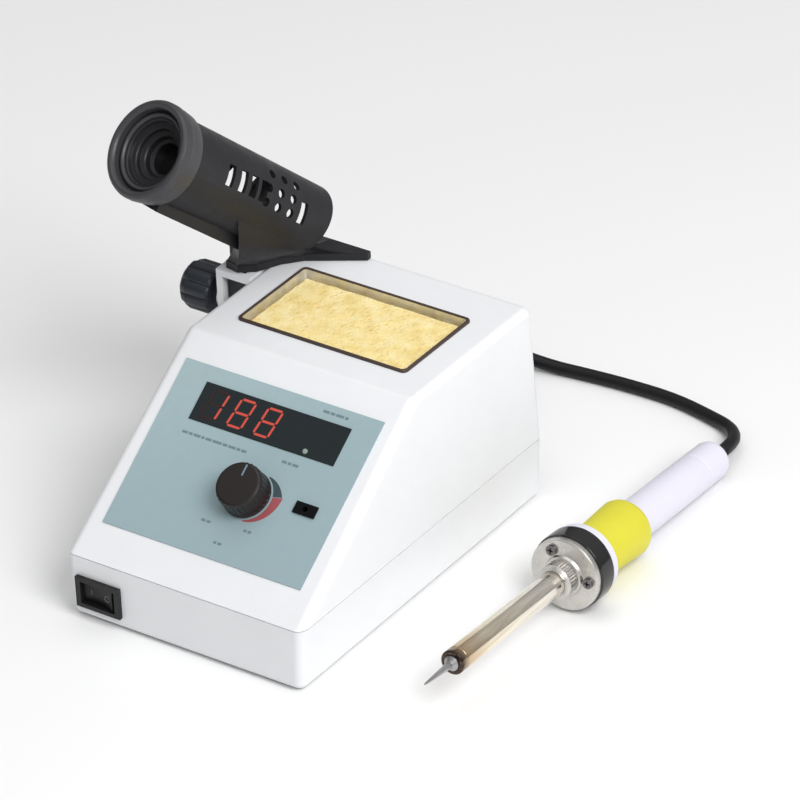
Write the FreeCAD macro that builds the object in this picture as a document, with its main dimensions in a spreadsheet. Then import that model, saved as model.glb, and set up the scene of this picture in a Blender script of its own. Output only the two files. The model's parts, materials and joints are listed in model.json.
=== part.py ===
"""Soldering iron station: sloped-front control box, iron holder, sponge tray and a corded iron.

Millimetres, +Z up, front towards -Y. The origin is on the bench, under the middle of the whole
object's box without its cord. Sub-parts are drawn in a local frame (the case, its sloping front,
the holder's axis or the iron's axis) and then placed as a whole.
"""
import FreeCAD, Part
import math
import os
import re

import Sketcher

os.makedirs("parts", exist_ok=True)
doc = FreeCAD.newDocument("soldering_station")

# ---------------------------------------------------------------------------------------------
# Driving dimensions
# ---------------------------------------------------------------------------------------------
DIMENSIONS = {
    # case, with its front face on local Y = 0 and its middle on local X = 0
    "station_x": -16.7, "station_y": -110.73,
    "case_width": 115.0, "case_depth": 170.0, "case_height": 90.0, "parting_height": 29.0,
    "foot_height": 1.0, "foot_radius": 6.0, "wall": 2.4, "slope_run": 85.0,
    "side_draft": 2.0, "rear_draft": 1.5, "base_draft": 1.5,
    "case_round": 4.0, "top_round": 3.4, "base_round": 2.9, "seam": 0.5, "seam_depth": 0.8,
    "boss_radius": 4.0, "boss_x": 46.0, "boss_front_y": 25.0, "boss_rear_y": 157.0,
    "screw_radius": 1.5, "screw_head_radius": 3.2,
    # front panel, on the sloping face: x across, s up the slope from the parting line
    "label_width": 96.0, "label_low": 16.5, "label_high": 92.0, "label_thick": 0.6,
    "window_x": 1.0, "window_s": 76.6, "window_width": 70.0, "window_tall": 16.8, "window_thick": 1.0,
    "lamp_x": 21.6, "lamp_s": 70.3, "lamp_radius": 1.1,
    "knob_x": 7.0, "knob_s": 46.0, "knob_radius": 10.4, "knob_height": 10.0, "knob_lift": 1.4,
    "shaft_radius": 3.0, "bushing_radius": 3.45, "running_gap": 0.05, "gap": 0.3,
    "port_x": 34.0, "port_s": 47.7, "port_width": 10.0, "port_tall": 5.0,
    "panel_board_depth": 14.0, "board_thick": 1.6,
    # power switch
    "switch_x": -41.6, "switch_z": 13.2, "switch_width": 21.4, "switch_tall": 13.8,
    "rocker_width": 15.4, "rocker_tall": 9.4, "rocker_tilt": 8.0,
    # sponge tray
    "tray_width": 82.0, "tray_depth": 47.4, "tray_y": 122.8, "tray_rim": 1.2, "tray_sink": 12.0,
    "tray_wall": 0.8, "tray_lip": 1.0, "sponge_margin": 1.0, "sponge_height": 9.7,
    # rear panel
    "inlet_x": 24.0, "inlet_z": 15.0, "inlet_width": 48.0, "inlet_tall": 23.0,
    "gland_x": -48.0, "gland_z": 14.0, "gland_length": 18.0,
    # holder socket on the left wall
    "socket_left": -72.2, "socket_front": 128.0, "socket_rear": 166.0, "socket_low": 62.0,
    "socket_wall": 3.0, "tongue_front": 131.0, "tongue_rear": 160.0, "tongue_left": -68.6,
    "tongue_right": -59.5, "tongue_low": 67.0, "bolt_y": 136.0, "bolt_z": 74.0, "bolt_radius": 2.5,
    "thumb_radius": 10.8, "thumb_length": 15.5,
    # holder, along its own axis from the middle of its mouth
    "mouth_x": -74.0, "mouth_y": 90.0, "mouth_z": 163.6, "holder_yaw": -16.0, "holder_rise": 40.3,
    "mouth_radius": 21.0, "mouth_depth": 12.0, "lip_radius": 17.3, "lip_depth": 4.6,
    "tube_radius": 18.7, "tube_rear_radius": 16.7, "tube_wall": 1.7, "tube_length": 102.0,
    "tube_end": 96.2, "end_tilt": 11.3, "keel_half": 9.0, "keel_reach": 20.3, "keel_end": 74.0,
    "guide_radius": 6.5, "guide_depth": 18.0, "plate_low": 90.3, "plate_thick": 3.2,
    # iron, along its own axis from the front face of its flange
    "iron_x": 111.5, "iron_y": 102.4, "iron_z": 17.1, "iron_yaw": 1.6, "iron_dip": 4.39,
    "tip_reach": 102.0, "barrel_reach": 82.4, "barrel_radius": 5.2, "flange_radius": 15.5,
    "flange_thick": 2.8, "flange_screw_circle": 11.4, "ring_radius": 16.2, "ring_end": 12.4,
    "neck_radius": 10.4, "collar_start": 19, "collar_end": 48.5, "collar_radius": 12.5,
    "handle_radius": 8.6, "cap_start": 100.0, "handle_end": 116.0, "relief_end": 121.0,
    # cord
    "cord_diameter": 5.5, "coil_x": -20.0, "coil_y": 211.0, "coil_radius": 28.0,
}
sheet = doc.addObject("Spreadsheet::Sheet", "dims")
for row, (name, value) in enumerate(DIMENSIONS.items(), 1):
    sheet.set(f"A{row}", name.replace("_", " "))
    sheet.set(f"B{row}", str(value))
    sheet.setAlias(f"B{row}", name)
doc.recompute()


def formula(text):
    """A formula over the sheet's cells, from one that uses their plain names, such as 'wall * 2'."""
    return re.sub(r"[a-z_]+", lambda word: f"dims.{word[0]}" if word[0] in DIMENSIONS else word[0], text)


def size(text):
    """The value of a formula over the sheet."""
    found = sheet.evalExpression(formula(text))
    return float(getattr(found, "Value", found))


def bind(item, prop, text):
    """Bind a property to a formula over the sheet."""
    item.setExpression(prop, formula(text))


def pose(x="0", y="0", z="0", yaw="0", pitch="0", roll="0"):
    """An expression for a Placement, from expressions for its six values."""
    return f"placement(vector({x}; {y}; {z}); rotation({yaw}; {pitch}; {roll}))"


HERE = pose()
CASE = pose("station_x", "station_y")
SLOPE_TILT = "atan((case_height - parting_height) / slope_run)"
ON_SLOPE = pose(z="parting_height", roll=SLOPE_TILT)
ON_AXIS = pose("mouth_x", "mouth_y", "mouth_z", "holder_yaw", "0", "90 - holder_rise")
IRON = CASE + " * " + pose("iron_x", "iron_y", "iron_z", "iron_yaw", "0", "-90 - iron_dip")
SLOPE = CASE + " * " + ON_SLOPE
HOLDER = CASE + " * " + ON_AXIS

parts = []


# ---------------------------------------------------------------------------------------------
# Ways of making a solid
# ---------------------------------------------------------------------------------------------
def make(kind, at, **sizes):
    """A Part primitive with every size and its placement bound to the sheet."""
    item = doc.addObject(kind, kind.split("::")[1].lower())
    for prop, text in sizes.items():
        bind(item, prop, text)
    bind(item, "Placement", at)
    return item


def box(x, y, z, across, deep, tall, at=HERE):
    """A box by its lowest corner and its extents."""
    return make("Part::Box", at + " * " + pose(x, y, z), Length=across, Width=deep, Height=tall)


def slab(x, y, low, high, across, deep, at=HERE):
    """A box centred on (x, y), from low to high."""
    return box(f"{x} - ({across}) / 2", f"{y} - ({deep}) / 2", low, across, deep, f"{high} - ({low})", at)


def rod(x, y, low, high, radius, at=HERE):
    """A cylinder along local Z."""
    return make("Part::Cylinder", at + " * " + pose(x, y, low), Radius=radius, Height=f"{high} - ({low})")


def rod_x(x0, x1, y, z, radius, at=HERE):
    """A cylinder along local X."""
    turn = pose(x0, y, z, pitch="90")
    return make("Part::Cylinder", at + " * " + turn, Radius=radius, Height=f"{x1} - ({x0})")


def rod_y(x, y0, y1, z, radius, at=HERE):
    """A cylinder along local Y."""
    turn = pose(x, y0, z, roll="-90")
    return make("Part::Cylinder", at + " * " + turn, Radius=radius, Height=f"{y1} - ({y0})")


def fuse(items, at=HERE):
    item = doc.addObject("Part::MultiFuse", "fuse")
    item.Shapes = items
    bind(item, "Placement", at)
    return item


def cut(base, tools, at=HERE):
    item = doc.addObject("Part::Cut", "cut")
    item.Base = base
    item.Tool = tools[0] if len(tools) == 1 else fuse(tools)
    bind(item, "Placement", at)
    return item


def group(items, at=HERE):
    """Several separate solids as one object."""
    item = doc.addObject("Part::Compound", "group")
    item.Links = items
    bind(item, "Placement", at)
    return item


def outline(body, plane, points, height=None):
    """A closed sketch on one of a body's own origin planes, each point bound to the sheet."""
    sketch = body.newObject("Sketcher::SketchObject", body.Name + "_sketch")
    origin = {feature.Role: feature for feature in body.Origin.OriginFeatures}
    sketch.AttachmentSupport = [(origin[plane], "")]
    sketch.MapMode = "FlatFace"
    if height:
        bind(sketch, "AttachmentOffset", pose(z=height))
    corners = [FreeCAD.Vector(size(x), size(y), 0) for x, y in points]
    count = len(corners)
    for index, corner in enumerate(corners):
        sketch.addGeometry(Part.LineSegment(corner, corners[(index + 1) % count]), False)
    for index, (x, y) in enumerate(points):
        sketch.addConstraint(Sketcher.Constraint("Coincident", index, 2, (index + 1) % count, 1))
        for kind, text in (("DistanceX", x), ("DistanceY", y)):
            number = sketch.addConstraint(Sketcher.Constraint(kind, -1, 1, index, 1, size(text)))
            bind(sketch, f"Constraints[{number}]", text)
    return sketch


def turned(name, profile, at):
    """A body turned about local Z from its half profile of (radius, height) points."""
    body = doc.addObject("PartDesign::Body", name)
    sketch = outline(body, "XZ_Plane", profile)
    turn = body.newObject("PartDesign::Revolution", name + "_turn")
    turn.Profile = sketch
    turn.ReferenceAxis = (sketch, ["V_Axis"])
    turn.Angle = 360
    bind(body, "Placement", at)
    return body


def rectangle(left, right, front, back):
    return [(left, front), (right, front), (right, back), (left, back)]


def edges_where(feature, wanted):
    """The names of a feature's edges whose two ends satisfy a test."""
    names = []
    for index, edge in enumerate(feature.Shape.Edges, 1):
        ends = [vertex.Point for vertex in edge.Vertexes]
        if len(ends) == 2 and wanted(*ends):
            names.append(f"Edge{index}")
    return names


def rounded(body, base, names, radius):
    fillet = body.newObject("PartDesign::Fillet", "fillet")
    fillet.Base = (base, names)
    bind(fillet, "Radius", radius)
    doc.recompute()
    return fillet


def keep(name, item):
    """Name a finished sub-part: its label is its node and its file."""
    item.Label = name
    parts.append(item)
    return item


# ---------------------------------------------------------------------------------------------
# Case shells
# ---------------------------------------------------------------------------------------------
HALF = "case_width / 2"
SOCKET_SCREWS_Y = ("138", "156")
SOCKET_SCREW_Z = "(socket_low + 9)"


def shell_body(name, low, high, hollow):
    """A rounded wedge between two rectangles, hollowed from its open side when asked."""
    body = doc.addObject("PartDesign::Body", name)
    wedge = body.newObject("PartDesign::AdditiveWedge", name + "_wedge")
    (low_height, low_sides), (high_height, high_sides) = low, high
    left, right, front, back = low_sides
    left_high, right_high, front_high, back_high = high_sides
    bounds = {
        "Xmin": left, "Xmax": right, "Ymin": low_height, "Ymax": high_height, "Zmin": f"-({back})",
        "Zmax": f"-({front})", "X2min": left_high, "X2max": right_high, "Z2min": f"-({back_high})",
        "Z2max": f"-({front_high})",
    }
    order = ["Xmax", "Ymax", "Zmax", "X2max", "Z2max", "Xmin", "Ymin", "Zmin", "X2min", "Z2min"]
    for prop in order:
        bind(wedge, prop, bounds[prop])
    bind(wedge, "Placement", pose(roll="90"))
    doc.recompute()
    step = 1.0
    upright = edges_where(wedge, lambda a, b: abs(a.z - b.z) > step)
    last = rounded(body, wedge, upright, "case_round")
    if hollow:
        closed, opened, rim_round = hollow
        faces = [
            f"Face{index}"
            for index, face in enumerate(last.Shape.Faces, 1)
            if abs(face.CenterOfMass.z - size(opened)) < 0.01
        ]
        shell = body.newObject("PartDesign::Thickness", name + "_shell")
        shell.Base = (last, faces)
        bind(shell, "Value", "wall")
        shell.Reversed = True
        doc.recompute()
        level = size(closed)
        rim = edges_where(shell, lambda a, b: abs(a.z - level) < step and abs(b.z - level) < step)
        rounded(body, shell, rim, rim_round)
    return body


def upper_outline():
    low = (f"-({HALF})", HALF, "0", "case_depth")
    inner = f"{HALF} - side_draft"
    high = (f"-({inner})", inner, "slope_run", "case_depth - rear_draft")
    return ("parting_height", low), ("case_height", high)


def upper_case():
    """Upper shell: sloping front, flat top, screw bosses and every panel opening."""
    low, high = upper_outline()
    shell = shell_body("upper_shell", low, high, ("case_height", "parting_height", "top_round"))
    bosses = []
    for side in ("-boss_x", "boss_x"):
        bosses.append(rod(side, "boss_front_y", "parting_height", "43.4", "boss_radius"))
        bosses.append(rod(side, "boss_rear_y", "parting_height", "case_height - 1.5", "boss_radius"))
    holes = []
    for side in ("-boss_x", "boss_x"):
        for place in ("boss_front_y", "boss_rear_y"):
            holes.append(rod(side, place, "parting_height - 1", "34", "screw_radius - 0.2"))
    through = ("-10", "5")
    holes.append(slab("window_x", "window_s", *through, "window_width - 4", "window_tall - 1.4", ON_SLOPE))
    holes.append(rod("knob_x", "knob_s", *through, "bushing_radius + 0.1", ON_SLOPE))
    holes.append(slab("port_x", "port_s", *through, "port_width - 1.8", "port_tall - 1.8", ON_SLOPE))
    tub_gap = "2 * tray_lip + 0.4"
    holes.append(
        slab("0", "tray_y", "70", "100", f"tray_width - {tub_gap}", f"tray_depth - {tub_gap}")
    )
    for place in SOCKET_SCREWS_Y:
        holes.append(rod_x("-62", "-50", place, SOCKET_SCREW_Z, "1.3"))
    return cut(fuse([shell] + bosses), holes, CASE)


def base_case():
    """Lower shell: floor, screw bosses and the openings for switch, inlet and gland."""
    inner = f"{HALF} - base_draft"
    low = (f"-({inner})", inner, "0", "case_depth")
    high = (f"-({HALF})", HALF, "0", "case_depth")
    shell = shell_body(
        "lower_shell", ("foot_height", low), ("parting_height", high),
        ("foot_height", "parting_height", "base_round"),
    )
    bosses, holes = [], []
    for side in ("-boss_x", "boss_x"):
        for place in ("boss_front_y", "boss_rear_y"):
            bosses.append(rod(side, place, "foot_height + 1", "parting_height", "boss_radius"))
            holes.append(rod(side, place, "0", "parting_height + 1", "screw_radius + 0.2"))
            holes.append(rod(side, place, "0", "foot_height + 5", "screw_head_radius + 0.2"))
    holes.append(box("switch_x - 9.3", "-5", "switch_z - 6.1", "18.6", "12", "12.2"))
    holes.append(box("inlet_x - 14", "case_depth - 6", "inlet_z - 10.2", "28", "12", "20.4"))
    holes.append(rod_y("gland_x", "case_depth - 6", "case_depth + 5", "gland_z", "4.9"))
    for side in ("-20", "20"):
        holes.append(
            rod_y(f"inlet_x + {side}", "case_depth - 6", "case_depth + 5", "inlet_z", "1.6")
        )
    for index in range(6):
        holes.append(box("-12", f"70 + {index} * 7", "0", "24", "2.6", "6"))
    holes.append(seam_groove())
    return cut(fuse([shell] + bosses), holes, CASE)


def seam_groove():
    """Ring that relieves the outer edge of the base where the two shells meet."""
    inner = f"{HALF} - seam_depth"
    sides = (f"-({inner})", inner, "seam_depth", "case_depth - seam_depth")
    core = shell_body("seam_core", ("parting_height - 3", sides), ("parting_height + 3", sides), None)
    block = slab(
        "0", "case_depth / 2", "parting_height - seam", "parting_height + 1",
        "(case_width + 10)", "(case_depth + 10)",
    )
    return cut(block, [core])


def case_screws():
    """Four long self-tapping screws, up through the lower bosses into the upper ones."""
    screws = []
    for side in ("-boss_x", "boss_x"):
        for place in ("boss_front_y", "boss_rear_y"):
            shank = rod(side, place, "foot_height + 5", "33", "screw_radius - 0.25")
            head = rod(side, place, "foot_height + 2.8", "foot_height + 5", "screw_head_radius")
            screws.append(fuse([head, shank]))
    return group(screws, CASE)


def rubber_feet():
    feet = []
    for side in ("-34", "34"):
        for place in ("16", "150"):
            feet.append(rod(side, place, "0", "foot_height", "foot_radius"))
    return group(feet, CASE)


# ---------------------------------------------------------------------------------------------
# Front panel, in the slope's frame
# ---------------------------------------------------------------------------------------------
def front_label():
    tall = "label_high - label_low"
    middle = "(label_high + label_low) / 2"
    sheet_metal = slab("0", middle, "0", "label_thick", "label_width", f"({tall})")
    holes = [
        slab("window_x", "window_s", "-1", "3", "window_width + 0.2", "window_tall + 0.2"),
        rod("knob_x", "knob_s", "-1", "3", "bushing_radius + 0.1"),
        slab("port_x", "port_s", "-1", "3", "port_width - 1.8", "port_tall - 1.8"),
    ]
    return cut(sheet_metal, holes, SLOPE)


def display_window():
    pane = slab("window_x", "window_s", "0", "window_thick", "window_width", "window_tall")
    hole = rod("lamp_x", "lamp_s", "-1", "3", "lamp_radius + 0.1")
    return cut(pane, [hole], SLOPE)


def display_module():
    """Three-digit display block, standing on the panel board behind the window."""
    return slab("window_x - 11", "window_s + 0.8", "-12.4", "-0.4", "38", "10", SLOPE)


def heating_lamp():
    stem = rod("lamp_x", "lamp_s", "-12.4", "0.9", "lamp_radius")
    dome = make(
        "Part::Sphere", pose("lamp_x", "lamp_s", "0.9"), Radius="lamp_radius",
    )
    return fuse([stem, dome], SLOPE)


def panel_board():
    board = slab("0", "54", "-panel_board_depth", "-panel_board_depth + board_thick", "82", "66")
    hole = rod("knob_x", "knob_s", "-20", "-5", "shaft_radius + 1")
    return cut(board, [hole], SLOPE)


def potentiometer():
    """Rotary control with a threaded bushing through the case."""
    can = rod("knob_x", "knob_s", "-12.4", "-wall", "8.2")
    bushing = rod("knob_x", "knob_s", "-wall - 1", "4.4", "bushing_radius")
    bore = rod("knob_x", "knob_s", "-20", "6", "shaft_radius + running_gap")
    return cut(fuse([can, bushing]), [bore], SLOPE)


def potentiometer_nut():
    ring = rod("knob_x", "knob_s", "label_thick", "label_thick + 2", "5.6")
    bore = rod("knob_x", "knob_s", "0", "4", "bushing_radius + 0.02")
    return cut(ring, [bore], SLOPE)


def knob_shaft():
    return rod("knob_x", "knob_s", "-11.5", "9.6", "shaft_radius", SLOPE)


def temperature_knob():
    """Skirted round knob, hollow over the nut, blind-bored for the shaft."""
    low = "knob_lift"
    high = "(knob_lift + knob_height)"
    radius = "knob_radius"
    profile = [
        ("shaft_radius + 0.02", f"{low} + 4"), (f"{radius} - 2.2", f"{low} + 4"), (f"{radius} - 2.2", low),
        (radius, low), (f"{radius} - 0.4", f"{high} - 1.2"), (f"{radius} - 1.6", high), ("0", high),
        ("0", f"{high} - 1.6"), ("shaft_radius + 0.02", f"{high} - 1.6"),
    ]
    return turned("knob", profile, SLOPE + " * " + pose("knob_x", "knob_s"))


def calibration_port():
    """Black bezel round the slot of the calibration trimmer."""
    flange = slab("port_x", "port_s", "label_thick", "label_thick + 1", "port_width", "port_tall")
    neck = slab("port_x", "port_s", "-3.4", "label_thick", "port_width - 2.2", "port_tall - 2.2")
    bore = rod("port_x", "port_s", "-9", "5", "1.2")
    return cut(fuse([flange, neck]), [bore], SLOPE)


def calibration_trimmer():
    block = slab("port_x", "port_s", "-12.4", "-5", "7", "6")
    socket = rod("port_x", "port_s", "-10", "-4", "1.1 + running_gap")
    return cut(block, [socket], SLOPE)


def calibration_screw():
    """Slotted screw of the trimmer, reached through the port."""
    screw = rod("port_x", "port_s", "-9.8", "-3.8", "1.1")
    slot = slab("port_x", "port_s", "-4.4", "-3", "3", "0.5")
    return cut(screw, [slot], SLOPE)


# ---------------------------------------------------------------------------------------------
# Power switch
# ---------------------------------------------------------------------------------------------
ROCKER_PIVOT_Y = "2.6"


def switch_frame():
    """Snap-in bezel and body with a cavity for the rocker and sockets for its pivot."""
    bezel = box(
        "switch_x - switch_width / 2", "-1.8", "switch_z - switch_tall / 2",
        "switch_width", "1.8", "switch_tall",
    )
    block = box("switch_x - 9.1", "-0.5", "switch_z - 5.9", "18.2", "20.5", "11.8")
    cavity = box(
        "switch_x - rocker_width / 2 - 0.6", "-4", "switch_z - rocker_tall / 2 - gap",
        "rocker_width + 1.2", "15", "rocker_tall + 2 * gap",
    )
    socket = rod(
        "switch_x", ROCKER_PIVOT_Y, "switch_z - 5.5", "switch_z + 5.5", "1.5 + running_gap",
    )
    return cut(fuse([bezel, block]), [cavity, socket], CASE)


def switch_rocker():
    """Concave rocker with its pivot stubs, at rest with its left end pressed."""
    body = doc.addObject("PartDesign::Body", "rocker")
    end = "rocker_width / 2"
    profile = [
        (f"-({end})", "-3.2"), ("0", "-1.9"), (end, "-3.2"), (end, "0.8"), ("3", "4.4"), ("-3", "4.4"),
        (f"-({end})", "0.8"),
    ]
    sketch = outline(body, "XY_Plane", profile)
    pad = body.newObject("PartDesign::Pad", "rocker_pad")
    pad.Profile = sketch
    bind(pad, "Length", "rocker_tall")
    pad.Midplane = True
    stubs = rod("0", "0", "-5.3", "5.3", "1.5")
    place = CASE + " * " + pose("switch_x", ROCKER_PIVOT_Y, "switch_z", yaw="-rocker_tilt")
    return fuse([body, stubs], place)


# ---------------------------------------------------------------------------------------------
# Sponge tray
# ---------------------------------------------------------------------------------------------
TRAY_FLOOR = "(case_height - tray_sink)"
TRAY_EDGE = "2 * (tray_lip + tray_wall)"


def sponge_tray():
    """Open tub hung in the top by its rim."""
    rim = slab("0", "tray_y", "case_height", "case_height + tray_rim", "tray_width", "tray_depth")
    tub = slab(
        "0", "tray_y", TRAY_FLOOR, "case_height",
        "(tray_width - 2 * tray_lip)", "(tray_depth - 2 * tray_lip)",
    )
    hollow = slab(
        "0", "tray_y", f"{TRAY_FLOOR} + tray_wall", "case_height + 5",
        f"(tray_width - {TRAY_EDGE})", f"(tray_depth - {TRAY_EDGE})",
    )
    return cut(fuse([rim, tub]), [hollow], CASE)


def sponge():
    low = f"{TRAY_FLOOR} + tray_wall + gap"
    return slab(
        "0", "tray_y", low, f"{low} + sponge_height",
        f"(tray_width - {TRAY_EDGE} - 2 * sponge_margin)",
        f"(tray_depth - {TRAY_EDGE} - 2 * sponge_margin)", CASE,
    )


# ---------------------------------------------------------------------------------------------
# Rear panel
# ---------------------------------------------------------------------------------------------
def mains_inlet():
    """Three-pin appliance inlet with its screw flange."""
    flange = box(
        "inlet_x - inlet_width / 2", "case_depth", "inlet_z - inlet_tall / 2",
        "inlet_width", "2.5", "inlet_tall",
    )
    block = box("inlet_x - 13.8", "case_depth - 16", "inlet_z - 10", "27.6", "16.5", "20")
    cavity = box("inlet_x - 12.3", "case_depth - 13.5", "inlet_z - 8.4", "24.6", "20", "16.8")
    holes = [
        rod_y(f"inlet_x + {side}", "case_depth - 1", "case_depth + 5", "inlet_z", "1.6")
        for side in ("-20", "20")
    ]
    return cut(fuse([flange, block]), [cavity] + holes, CASE)


def inlet_pins():
    pins = []
    for side, height in (("-7", "-1.5"), ("0", "2.5"), ("7", "-1.5")):
        pins.append(
            box(f"inlet_x + {side} - 1", "case_depth - 13.5", f"inlet_z + {height} - 2", "2", "12", "4")
        )
    return group(pins, CASE)


def inlet_screws():
    screws = []
    for side in ("-20", "20"):
        place = f"inlet_x + {side}"
        head = rod_y(place, "case_depth + 2.5", "case_depth + 4", "inlet_z", "2.6")
        shank = rod_y(place, "case_depth - 5", "case_depth + 2.5", "inlet_z", "1.45")
        screws.append(fuse([head, shank]))
    return group(screws, CASE)


def cord_gland():
    """Strain relief where the iron's cord leaves the rear panel; its axis is local Z."""
    profile = [
        ("0", "-6"), ("4.8", "-6"), ("4.8", "0"), ("6.4", "0"), ("6.4", "2"), ("5", "2.6"),
        ("cord_diameter / 2 + 0.6", "gland_length"), ("0", "gland_length"),
    ]
    return turned("gland", profile, CASE + " * " + pose("gland_x", "case_depth", "gland_z", roll="-90"))


# ---------------------------------------------------------------------------------------------
# Inside the case
# ---------------------------------------------------------------------------------------------
FLOOR = "(foot_height + wall)"
CORE_Y = "128"


def transformer_core():
    """Laminated core: an outer block with two windows beside its middle leg."""
    block = slab("0", CORE_Y, FLOOR, f"{FLOOR} + 48", "57", "30")
    windows = [
        box(side, "100", f"{FLOOR} + 9.5", "9.5", "60", "29") for side in ("-19", "9.5")
    ]
    return cut(block, windows, CASE)


def transformer_coil():
    ring = slab("0", CORE_Y, f"{FLOOR} + 9.8", f"{FLOOR} + 38.2", "37.4", "48")
    leg = slab("0", CORE_Y, "0", "80", "19.4", "30.4")
    return cut(ring, [leg], CASE)


def transformer_bracket():
    """Steel strap over the core with two ears on the floor."""
    outer = slab("0", CORE_Y, FLOOR, f"{FLOOR} + 49.4", "59.8", "16")
    ears = slab("0", CORE_Y, FLOOR, f"{FLOOR} + 1.4", "80", "16")
    core = slab("0", CORE_Y, "0", f"{FLOOR} + 48", "57", "31")
    holes = [rod(side, CORE_Y, "0", "10", "2.1") for side in ("-35", "35")]
    return cut(fuse([outer, ears]), [core] + holes, CASE)


def transformer_screws():
    screws = []
    for side in ("-35", "35"):
        head = rod(side, CORE_Y, f"{FLOOR} + 1.4", f"{FLOOR} + 3.6", "3.6")
        shank = rod(side, CORE_Y, FLOOR, f"{FLOOR} + 1.4", "1.95")
        screws.append(fuse([head, shank]))
    return group(screws, CASE)


BOARD_LOW = "(foot_height + wall + 8)"
BOARD_CORNERS = [(x, y) for x in ("-14", "44") for y in ("34", "90")]


def board_posts():
    return group([rod(x, y, FLOOR, BOARD_LOW, "3") for x, y in BOARD_CORNERS], CASE)


def control_board():
    board = slab("15", "62", BOARD_LOW, f"{BOARD_LOW} + board_thick", "66", "64")
    holes = [rod(x, y, "0", "30", "1.6") for x, y in BOARD_CORNERS]
    return cut(board, holes, CASE)


def board_screws():
    top = f"{BOARD_LOW} + board_thick"
    screws = []
    for x, y in BOARD_CORNERS:
        head = rod(x, y, top, f"{top} + 1.8", "2.6")
        shank = rod(x, y, BOARD_LOW, top, "1.45")
        screws.append(fuse([head, shank]))
    return group(screws, CASE)


def terminal_block():
    top = f"{BOARD_LOW} + board_thick"
    return slab("4", "84", top, f"{top} + 9", "20", "9", CASE)


def board_fuse():
    top = f"{BOARD_LOW} + board_thick"
    clips = [box(x, "50", top, "4", "7", "3") for x in ("22", "38")]
    return fuse(clips + [rod_x("21.5", "42.5", "53.5", f"{top} + 3.4", "2.6")], CASE)


# ---------------------------------------------------------------------------------------------
# Holder: socket, clamp screw, pedestal and barrel
# ---------------------------------------------------------------------------------------------
def holder_socket():
    """Open-ended box on the left wall; the holder's tongue drops in from above."""
    low, high = upper_outline()
    envelope = shell_body("envelope", low, high, None)
    deep = "(socket_rear - socket_front)"
    block = box(
        "socket_left", "socket_front", "socket_low",
        "-52 - socket_left", deep, "case_height - 0.2 - socket_low",
    )
    inside = box(
        "socket_left + socket_wall", "socket_front - 5", "socket_low + socket_wall",
        "-59 - socket_left - socket_wall", f"{deep} + 10",
        "case_height - 0.2 - socket_low - 2 * socket_wall",
    )
    slot = box(
        "tongue_left - gap", "tongue_front - gap", "case_height - 10",
        "tongue_right - tongue_left + 2 * gap",
        "tongue_rear - tongue_front + 2 * gap", "20",
    )
    throat = box(
        "socket_left + socket_wall", "socket_front - 5", "socket_low + socket_wall", "30", "11",
        "case_height - 0.2 - socket_low - 2 * socket_wall",
    )
    insert = rod_x("socket_left - 5", "socket_left + 8", "bolt_y", "bolt_z", "4")
    screws = []
    for place in SOCKET_SCREWS_Y:
        screws.append(rod_x("-62", "-50", place, SOCKET_SCREW_Z, "1.6"))
        screws.append(rod_x("-62", "-57.5", place, SOCKET_SCREW_Z, "3"))
    return cut(block, [envelope, inside, slot, throat, insert] + screws, CASE)


def socket_screws():
    """Two screws from the socket into the case wall."""
    screws = []
    for place in SOCKET_SCREWS_Y:
        head = rod_x("-58.9", "-57.5", place, SOCKET_SCREW_Z, "2.8")
        shank = rod_x("-57.5", "-52.5", place, SOCKET_SCREW_Z, "1.25")
        screws.append(fuse([head, shank]))
    return group(screws, CASE)


def clamp_insert():
    """Threaded brass insert in the socket's left wall."""
    barrel = rod_x("socket_left", "socket_left + socket_wall", "bolt_y", "bolt_z", "3.98")
    bore = rod_x(
        "socket_left - 5", "socket_left + 8", "bolt_y", "bolt_z",
        "bolt_radius + running_gap",
    )
    return cut(barrel, [bore], CASE)


def clamp_washer():
    ring = rod_x("socket_left - gap - 1.5", "socket_left - gap", "bolt_y", "bolt_z", "6.5")
    bore = rod_x(
        "socket_left - 5", "socket_left + 8", "bolt_y", "bolt_z",
        "bolt_radius + running_gap",
    )
    return cut(ring, [bore], CASE)


THUMB_FACE = "(socket_left - gap - 1.5)"


def thumb_bolt():
    return rod_x(
        f"{THUMB_FACE} - 12", "tongue_left - gap", "bolt_y", "bolt_z", "bolt_radius", CASE,
    )


def thumb_knob():
    """Fluted thumb knob, its axis along local X, bored for the bolt."""
    outer_end = f"{THUMB_FACE} - 2 - thumb_length"
    body = rod_x(outer_end, f"{THUMB_FACE} - 2", "bolt_y", "bolt_z", "thumb_radius")
    hub = rod_x(f"{THUMB_FACE} - 2.5", f"{THUMB_FACE} - 0.2", "bolt_y", "bolt_z", "5.4")
    bore = rod_x(f"{THUMB_FACE} - 12", f"{THUMB_FACE} + 5", "bolt_y", "bolt_z", "bolt_radius + 0.02")
    flutes = []
    for index in range(8):
        turn = f"{index} * 45"
        groove = pose(outer_end + " - 1", "bolt_y", "bolt_z", pitch="90") + " * " + pose(yaw=turn)
        flutes.append(rod("thumb_radius + 1.2", "0", "0", "thumb_length + 2", "2.2", groove))
    return cut(fuse([body, hub]), [bore] + flutes, CASE)


def tube_cone(name, margin, front, rear):
    """A solid cone along the holder's axis, standing margin outside the tube's outer face."""
    taper = "(tube_radius - tube_rear_radius) / tube_length"

    def reach(depth):
        return f"tube_radius + ({margin}) - ({taper}) * ({depth})"

    back, face = f"-({rear})", f"-({front})"
    profile = [("0", back), (reach(rear), back), (reach(front), face), ("0", face)]
    return turned(name, profile, ON_AXIS)


TUBE_END = ON_AXIS + " * " + pose(z="-tube_end", roll="-end_tilt")


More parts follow.
